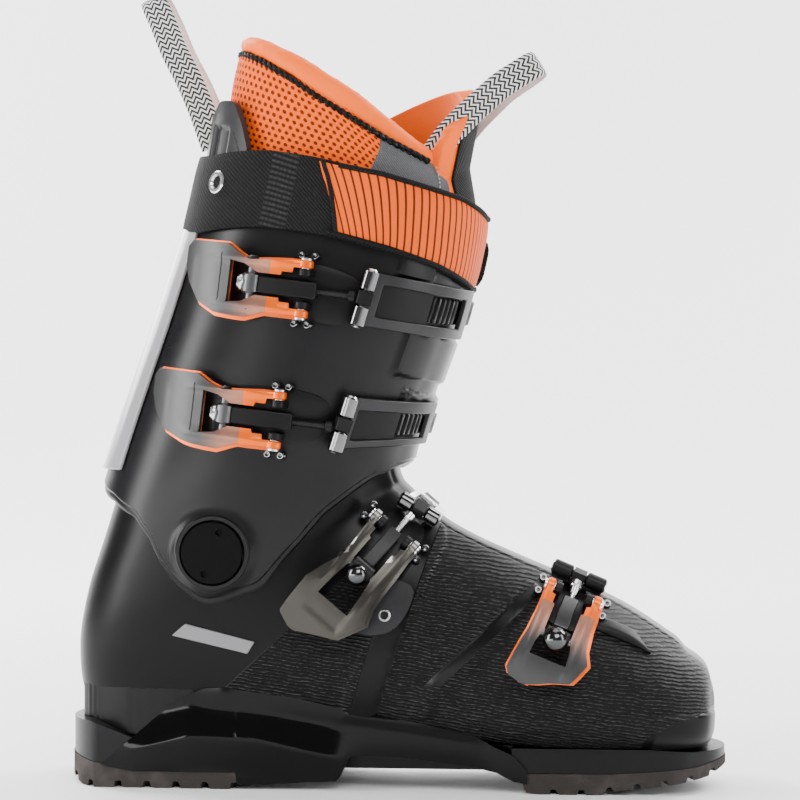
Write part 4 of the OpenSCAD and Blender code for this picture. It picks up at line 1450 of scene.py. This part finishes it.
def lever_plate(name, b, outline, window, out0, out1, grow, material, relief=None):
    """A curved plate with two arms; out0 and out1 are its two faces, in mm outwards."""
    xs, lows, highs = map(np.array, zip(*outline))
    window_x, window_half = map(np.array, zip(*window))
    x = np.unique(np.round(np.concatenate([span(xs[0] - grow * 0.5, xs[-1] + grow, 62), xs,
                                           window_x]), 3))
    under = grow > 0  # the plate underneath shows past the lower edge and the window
    low = np.interp(x, xs, lows) - grow - 0.9 * under
    high = np.interp(x, xs, highs) + grow
    half = np.interp(x, window_x, window_half) + 0.3 * under
    inner_low = np.maximum(-half, low + 0.8)
    inner_high = np.minimum(half, high - 0.8)

    def columns(start, end, count):
        return start[:, None] + (end - start)[:, None] * span(0, 1, count)[None, :]

    parts = [columns(low, inner_low, 6)[:, :-1], columns(inner_low, inner_high, 15)[:, :-1],
             columns(inner_high, high, 6)]
    z = np.concatenate([np.broadcast_to(p, (len(x), p.shape[1])) for p in parts], axis=1)
    xx = np.broadcast_to(x[:, None], z.shape)
    keep = np.ones((len(x) - 1, z.shape[1] - 1), bool)
    middle = (x[1:] + x[:-1]) / 2
    keep[np.ix_(middle < window_x[-1] + 0.3 * under, range(5, 19))] = False
    mid = b.length / 2
    centre = math.sqrt(b.radius ** 2 - mid ** 2)
    rise = relief(xx, z) if relief else 0 * z

    def bent(out):
        r = b.radius + out
        angle = (xx - mid) / b.radius
        local = np.stack([-(mid + r * np.sin(angle)), centre - r * np.cos(angle), z], -1)
        return to_world(b, local).reshape(-1, 3)

    uv = np.stack([xx, z], -1).reshape(-1, 2)
    obj = mesh_object(name, np.vstack([bent(out1 + rise), bent(out0)]),
                      grid_faces(keep.shape[0], keep.shape[1], False, keep), material,
                      np.vstack([uv, uv]))
    return bevel(obj, 0.45, 2, 40)


def handle_relief(ridge, hollow):
    """Ridges that run from the arms into the handle, and a shallow hollow between them."""
    def relief(x, z):
        on_handle = ease((x - 30) / 6)
        r = ridge * np.exp(-((np.abs(z - 0.5) - 10.4) / 1.5) ** 2) * (1 - ease((x - 36) / 10))
        h = hollow * on_handle * (1 - ease((np.abs(z) - 8) / 3)) * (1 - ease((x - 50) / 4))
        return r - h
    return relief


def bar(name, p, q, radius, material, sides=24, rim=0.5):
    """A turned bar between two points, with its ends chamfered."""
    p, q = np.asarray(p, float), np.asarray(q, float)
    length = np.linalg.norm(q - p)
    profile = [(radius - rim, 0), (radius, rim), (radius, length - rim), (radius - rim, length)]
    return lathe(name, profile, p, q - p, material, sides)


def prism(name, p, q, wide, tall, up, material, chamfer=0.7):
    """A chamfered rectangular block between two points; up gives its tall side."""
    p, q = np.asarray(p, float), np.asarray(q, float)
    run = (q - p) / np.linalg.norm(q - p)
    up = up - run * (np.dot(up, run))
    up /= np.linalg.norm(up)
    side = np.cross(run, up)
    rings = []
    for f, k in ((0, 0.86), (0.04, 1), (0.5, 1), (0.96, 1), (1, 0.86)):
        for a, c in ((-1, -1), (1, -1), (1, 1), (-1, 1)):
            rings.append(p + (q - p) * f + (a * wide / 2 * side + c * tall / 2 * up) * k)
    obj = mesh_object(name, rings, ring_faces(5, 4), material)
    return bevel(obj, chamfer, angle=30)


def knuckles(name, b, at, radius, z0, z1, material):
    """Short turned bosses on both arms of a lever."""
    parts = []
    for sign in (-1, 1):
        a = to_world(b, [at[0], at[1], sign * z0])
        c = to_world(b, [at[0], at[1], sign * z1])
        parts.append(bar(f"{name}_{sign}", a, c, radius, material, 28, 0.6))
    return join(name, parts)


def lever(i, b):
    """A lever: faded plate, bright underside, hinge knuckles, barrel seats and end caps."""
    body = f"lever_{i}"
    outline = LEVER_OUTLINES[i - 1]
    window = WINDOWS[i - 1]
    slot = "gunmetal" if i == 3 else "lever_metal"
    top_mat = (LEVER_FADE, LEVER_FADE, GUNMETAL, FORE_FADE)[i - 1]
    low_mat = GUNMETAL if i == 3 else ORANGE_METAL
    relief = handle_relief(0.7, 0.5) if i == 3 else handle_relief(0.6, 0.15)
    plate = lever_plate(f"Lever_{i}_plate", b, outline, window, -0.3, 1.9, -0.35, top_mat, relief)
    own(plate, body, slot, f"lever_{i}")
    under = lever_plate(f"Lever_{i}_underside", b, outline, window, -1.6, 0.1, 0.45, low_mat)
    own(under, body, slot)
    ends = knuckles(f"Lever_{i}_knuckles", b, (0, 0), 3.5, 9.25, 12.9, top_mat)
    give_uv(ends, b)
    own(ends, body, slot)
    seats = knuckles(f"Lever_{i}_seats", b, BARREL, 2.7, 9.3, 12.2, BLACK)
    own(seats, body, slot)
    caps = []
    for sign in (-1, 1):
        a = to_world(b, [0, 0, sign * 12.8])
        axis = direction(b, [0, 0, sign])
        caps.append(lathe(f"cap_{sign}", [(2.6, 0), (2.6, 0.8), (1.9, 1.3), (0.9, 1.3), (0.7, 0.9)],
                          a, axis, SILVER, 24))
    own(join(f"Lever_{i}_caps", caps), body, "bright_metal")


def give_uv(obj, b):
    """Distances from the hinge for a piece made without them."""
    layer_uv = obj.data.uv_layers[UV_NAME]
    yaw, pitch = math.radians(b.yaw), math.radians(b.pitch)
    for loop in obj.data.loops:
        v = np.array(obj.data.vertices[loop.vertex_index].co) / MM - b.hinge
        x = v[0] * math.cos(pitch) + v[2] * math.sin(pitch)
        layer_uv.data[loop.index].uv = (-(x * math.cos(yaw) + v[1] * math.sin(yaw)), v[2])


TUBE_OUT = 9.2  # the cross tube's middle stands this far off the wall


def link_point(b):
    """Where the rod meets the catch's cross tube."""
    return layer(b.t, b.s, b.wall + TUBE_OUT)


# For each buckle: the barrel's radius, material and rim; the head's radius, material and place
# along the rod and outwards; and the sleeve's start, end as a share of the rod, height, material
CUFF_ROD = (4.0, SATIN_METAL, 1.0), None, (3, 0.58, 7.6, BLACK)
RODS = [CUFF_ROD, CUFF_ROD,
        ((4.1, BLACK, 0.8), (5.2, CHROME, -3.2, 0.6), (3.4, 0.62, 6.4, GREY)),
        ((4.0, BLACK, 0.8), (5.8, CHROME, -1.6, 0.8), (4.4, 0.60, 7.0, SATIN_METAL))]


def rod(i, b):
    """The barrel in the lever, its sleeve, and the threaded rod to the cross tube."""
    start = to_world(b, [*BARREL, 0])
    reach = link_point(b) - start
    length = np.linalg.norm(reach)
    run = reach / length
    (radius, material, rim), head, (sleeve, share, tall, sleeve_mat) = RODS[i - 1]
    rod_finish = SILVER if i > 2 else BLACK

    def cross_bar(name, z0, z1, r, finish, sides, edge):
        ends = to_world(b, [*BARREL, z0]), to_world(b, [*BARREL, z1])
        return bar(name, *ends, r, finish, sides, edge)

    parts = [cross_bar("barrel", -b.barrel_half, b.barrel_half, radius, material, 32, rim)]
    if head:
        size, head_mat, along, outwards = head
        place = start + run * along + direction(b, [0, -1, 0]) * outwards
        parts.append(ball("head", place, size, head_mat))
    else:
        parts.append(bar("nose", start - run * 6.0, start - run * 2.5, 3.9, SILVER, 32, 1.3))
    parts.append(prism("sleeve", start + run * sleeve, start + run * length * share, 5.4, tall,
                       direction(b, [0, 0, 1]), sleeve_mat))
    for sign in (-1, 1):
        parts.append(cross_bar(f"pin_{sign}", sign * (b.barrel_half - 0.5), sign * 12.4, 1.9,
                               SATIN_METAL, 20, 0.4))
    parts.append(thread("thread", start + run * length * 0.5, start + run * (length - 3.4), 1.65,
                        rod_finish))
    parts.append(bar("collar", start + run * (length - 7.6), start + run * (length - 3.9), 2.7,
                     rod_finish, 28, 0.6))
    own(join(f"Rod_{i}", parts), f"catch_{i}", "bright_metal", f"rod_{i}")


def ball(name, centre, radius, material):
    a = span(-math.pi / 2, math.pi / 2, 18)
    return lathe(name, [(radius * math.cos(v), radius * math.sin(v)) for v in a], centre,
                 (0.2, -1, 0.3), material, 32)


def thread(name, p, q, radius, material):
    """A rod with a fine thread along it."""
    length = np.linalg.norm(q - p)
    count = int(length / 0.35)
    profile = [(radius - 0.16 * (k % 2), length * k / count) for k in range(count + 1)]
    return lathe(name, profile, p, q - p, material, 18)


def catch(i, b):
    """A frame with a window on the far flap, and the cross tube that the rod pulls."""
    body = f"catch_{i}"
    slot = "silver_metal" if i == 3 else "catch_metal"
    finish = SILVER if i == 3 else SATIN_METAL
    bars, first = (0.24, 0.22) if i == 3 else (0.20, 0.10)
    length = CATCH_END - b.s
    row = np.array([-1, -0.9, -1 + 2 * bars, -0.25, 0, 0.25, 1 - 2 * bars, 0.9, 1.0])
    col = np.concatenate([[0, 0.05], span(first, 0.88, 18), [0.94, 1.0]])
    s = b.s + length * col[None, :]
    t = b.t + b.half * row[:, None] + b.slant * (s - b.s)
    in_row = np.abs((row[1:] + row[:-1]) / 2) < 1 - 2 * bars
    mid_col = (col[1:] + col[:-1]) / 2
    in_col = (mid_col > first) & (mid_col < 0.88)
    out = b.wall + 6.2 + 0.6 * (col < 0.06) + 0.5 * np.exp(-((col - 0.97) / 0.03) ** 2)
    plate = surface_piece(f"Catch_{i}_frame", t, s, out[None, :], b.wall + 3.9, finish,
                          keep=~(in_row[:, None] & in_col[None, :]))
    own(bevel(plate, 0.5, angle=35), body, slot, f"catch_{i}")
    if i != 3:
        s = b.s + length * span(0.06, 0.50, 14)[None, :]
        t = b.t + b.half * span(-0.64, 0.64, 7)[:, None] + b.slant * (s - b.s)
        recess = surface_piece(f"Catch_{i}_recess", t, s, b.wall + 4.7, b.wall + 4.0, BLACK)
        own(recess, body, "catch_metal")
    own(cross_tube(i, b, finish), body, slot)


def cross_tube(i, b, finish):
    """The tube in two halves with the rod's joint between them, on two lugs of the frame."""
    low, high = [layer(b.t + b.half * v, b.s, b.wall + TUBE_OUT) for v in (-1.04, 1.04)]
    run = (high - low) / np.linalg.norm(high - low)
    centre = (low + high) / 2
    half_mat = BLACK if i == 4 else CHROME
    parts = [bar("low", low, centre - run * 3.4, 3.6, half_mat, 32, 0.7),
             bar("high", centre + run * 3.4, high, 3.6, half_mat, 32, 0.7),
             bar("cap_low", low - run * 0.5, low + run * 1.2, 2.7, SILVER, 28, 0.5),
             bar("cap_high", high - run * 1.2, high + run * 0.5, 2.7, SILVER, 28, 0.5),
             bar("axle", low + run, high - run, 1.8, BLACK, 20, 0.3)]
    away = outward(b.t, b.s)
    forward = np.cross(away, run) * 3.6
    parts.append(prism("joint", centre - forward, centre + forward, 5.2, 6.0, run, BLACK))
    for sign in (-1, 1):
        foot = centre + run * sign * (np.linalg.norm(high - low) / 2 - 2.2)
        parts.append(prism(f"lug_{sign}", foot - away * 4.6, foot, 3.4, 3.0, run, finish, 0.5))
    return join(f"Catch_{i}_tube", parts)


TOOTH_PITCH = 4.2


def ladder(i, b):
    """A strip of teeth that the catch hooks on, with bright tips."""
    count = 200
    s = span(b.s + 0.35 * (CATCH_END - b.s), 0.565, count)[None, :]
    row = np.array([-0.52, -0.46, -0.2, 0.0, 0.2, 0.46, 0.52])[:, None]
    t = b.t + b.half * row + b.slant * (s - b.s)
    step = np.linalg.norm(np.diff(layer(t[3], s[0], b.wall), axis=0), axis=1).mean()
    phase = (np.arange(count) * step / TOOTH_PITCH) % 1
    tooth = np.where(phase < 0.25, phase / 0.25, np.clip((1 - phase) / 0.75, 0, 1))
    high = 1.7 + 2.6 * ease((s - CATCH_END - 0.006) / 0.008)
    out = b.wall + 1.5 + high * tooth[None, :] * (np.abs(row) < 0.50)
    piece = surface_piece(f"Ladder_{i}", t, s, out, b.wall + 0.2, [BLACK, SATIN_METAL])
    pick_material(piece, lambda k, poly: 0.12 < phase[min(poly.vertices) % count] < 0.5)
    own(piece, "cuff" if i < 3 else "lower", "ladder_plastic", f"ladder_{i}")


def squircle(rows, cols, k=0.42):
    """A grid of a and b from -1 to 1 with rounded corners."""
    a = span(-1, 1, rows + 1)[:, None]
    b = span(-1, 1, cols + 1)[None, :]
    return (a * np.sqrt(1 - k * b ** 2 * a ** 4), b * np.sqrt(1 - k * a ** 2 * b ** 4))


def base(i, b):
    """A buckle's base plate with its two hinge posts and four rivets."""
    body = "cuff" if i < 3 else "lower"
    a, c = squircle(20, 30)
    out = b.wall + b.base_out + 1.9 - 0.6 * np.maximum(np.abs(a), np.abs(c)) ** 6
    foot = b.wall - 0.8 if i > 2 else b.wall + 0.1
    plate = surface_piece(f"Base_{i}_plate", b.base_t + b.base_tall * a, b.base_s + b.base_long * c,
                          out, foot, BLACK)
    own(bevel(plate, 0.5), body, "base_metal", f"base_{i}")
    posts = []
    for sign in (-1, 1):
        top = to_world(b, [0, 0, sign * 7.3])
        foot = to_world(b, [0, b.lift - 1.2, sign * 7.3])
        posts.append(prism(f"post_{sign}", foot, top + (top - foot) * 0.02, 3.0, 5.2,
                           direction(b, [1, 0, 0]), BLACK, 0.6))
        posts.append(bar(f"eye_{sign}", to_world(b, [0, 0, sign * 5.6]),
                         to_world(b, [0, 0, sign * 9.0]), 3.1, BLACK, 28, 0.4))
    own(join(f"Base_{i}_posts", posts), body, "base_metal")
    rivets = []
    turned = [(1.8, -3.0), (1.8, 0.4), (1.5, 0.9), (0.8, 1.0), (0.4, 0.8)]
    for x, z in ((3.4, -15.4), (-3.0, -15.4), (3.4, 15.4), (-3.0, 15.4)):
        place = to_world(b, [x, b.lift - 5.2, z])
        rivets.append(lathe("rivet", turned, place, direction(b, [0, -1, 0]), CHROME, 28))
    if i == 3:
        rivets += base_tab()
    own(join(f"Base_{i}_rivets", rivets), body, "bright_metal")
    dress(f"pins_{i}", SILVER)


def base_tab():
    """A tab that reaches down from the third base plate, and the eyelet in it."""
    a, c = squircle(14, 14)
    tab = surface_piece("Base_3_tab", 7.12 + 0.46 * a, 0.283 + 0.032 * c, 2.6, 0.4, GREY)
    own(bevel(tab, 0.5), "lower", "base_metal")
    point, n = layer(7.0, 0.27, 2.2), outward(7.0, 0.27)
    turned = [(2.8, 0), (2.8, 0.6), (2.4, 1.0), (1.9, 1.0), (1.6, 0.3)]
    return [lathe("ring", turned, point, n, SILVER, 28),
            lathe("plug", [(1.7, 0.3), (1.7, 0.5), (1.2, 0.4)], point, n, BLACK, 24)]


def fore_clip():
    """A small clip in front of the lowest buckle."""
    f = span(-1, 1, 16)[:, None]
    g = span(-1, 1, 16)[None, :]
    t = 3.1 + 0.42 * f * (1 - 0.35 * g)
    out = 1.2 + 1.4 * (1 - f ** 4) * (1 - g ** 4)
    clip = surface_piece("Base_4_clip", t, 0.362 + 0.022 * g, out, -0.3, BLACK)
    own(clip, "lower", "base_metal")


def build_buckles():
    fore_clip()
    for i, b in enumerate(BUCKLES, 1):
        base(i, b)
        lever(i, b)
        rod(i, b)
        catch(i, b)
        ladder(i, b)


LEVER_FADE = faded_orange("lever_faded_orange", 34.0, 14.0, crease_shade_x=37.5).material
FORE_FADE = faded_orange("lever_faded_copper", 31.0, 9.0).material


# ---- Small hidden parts ----------------------------------------------------------------------
def build_inside():
    dress("bootboard", BOARD)
    for node in ("toe_sole_screws", "heel_sole_screws"):
        dress(node, SILVER)


# ---- Floor, lights and camera ----------------------------------------------------------------
def backdrop():
    """A pale floor that curves up into a wall behind the boot."""
    profile = [(-12.0, 0.0), (1.2, 0.0)]
    for a in span(0, math.pi / 2, 16):
        profile.append((1.2 + 0.8 * math.sin(a), 0.8 - 0.8 * math.cos(a)))
    profile.append((2.0, 4.0))
    pts = [(x / MM, y / MM, z / MM - 0.15) for x in (-12, 12) for y, z in profile]
    n = len(profile)
    faces = [(k, k + 1, n + k + 1, n + k) for k in range(n - 1)]
    paint = Recipe("studio_white", (0.9, 0.9, 0.905), 0.7)
    soft = paint.noise(paint.place(), 3, 2)
    tone = paint.mix(paint.times(soft, 0.3), (0.91, 0.91, 0.915), (0.89, 0.89, 0.895))
    paint.link(tone, "Base Color")
    obj = mesh_object("Backdrop", pts, faces, paint.material)


def area(name, location, target, size, power):
    """A rectangular light that faces its target."""
    light = bpy.data.lights.new(name, "AREA")
    light.shape = "RECTANGLE"
    light.size, light.size_y = size
    light.energy = power
    obj = bpy.data.objects.new(name, light)
    bpy.context.scene.collection.objects.link(obj)
    obj.location = location
    aim = Vector(target) - Vector(location)
    obj.rotation_euler = aim.to_track_quat("-Z", "Y").to_euler()


def studio():
    """Pale surroundings, soft strips from the sides, and a camera level with the boot's middle."""
    backdrop()
    world = bpy.data.worlds.new("studio")
    world.use_nodes = True
    world.node_tree.nodes["Background"].inputs["Color"].default_value = (0.95, 0.97, 1.0, 1)
    world.node_tree.nodes["Background"].inputs["Strength"].default_value = 0.20
    bpy.context.scene.world = world
    middle = (0, 0, 0.17)
    area("Key", (0.5, -1.5, 1.3), middle, (1.1, 0.9), 26)
    area("Left_strip", (-1.25, -0.55, 0.45), middle, (0.35, 1.3), 28)
    area("Right_strip", (1.3, -0.5, 0.5), middle, (0.35, 1.2), 11)
    area("Low_strip", (-0.75, -1.0, 0.10), (-0.05, 0, 0.03), (0.9, 0.16), 5)
    area("Top", (0.1, 0.1, 1.5), middle, (1.0, 1.0), 10)
    area("Back_left", (-0.9, 1.0, 0.8), middle, (0.7, 0.9), 12)
    for side in (-1, 1):
        area(f"Wall_wash_{side}", (1.5 * side, 1.0, 1.7), (0.3 * side, 2.0, 0.3), (1.2, 1.0), 90)
    camera = bpy.data.cameras.new("Camera")
    camera.lens = 105.5
    camera.clip_end = 20
    obj = bpy.data.objects.new("Camera", camera)
    bpy.context.scene.collection.objects.link(obj)
    yaw, reach = math.radians(6), 1.1
    obj.location = (0.0016 + reach * math.sin(yaw), -reach * math.cos(yaw), 0.178)
    obj.rotation_euler = (math.pi / 2, 0, yaw)
    bpy.context.scene.camera = obj


build_lower()
build_cuff()
build_buckles()
build_inside()
studio()


def corners(bounds):
    return [[float(v) for v in corner] for corner in bounds]
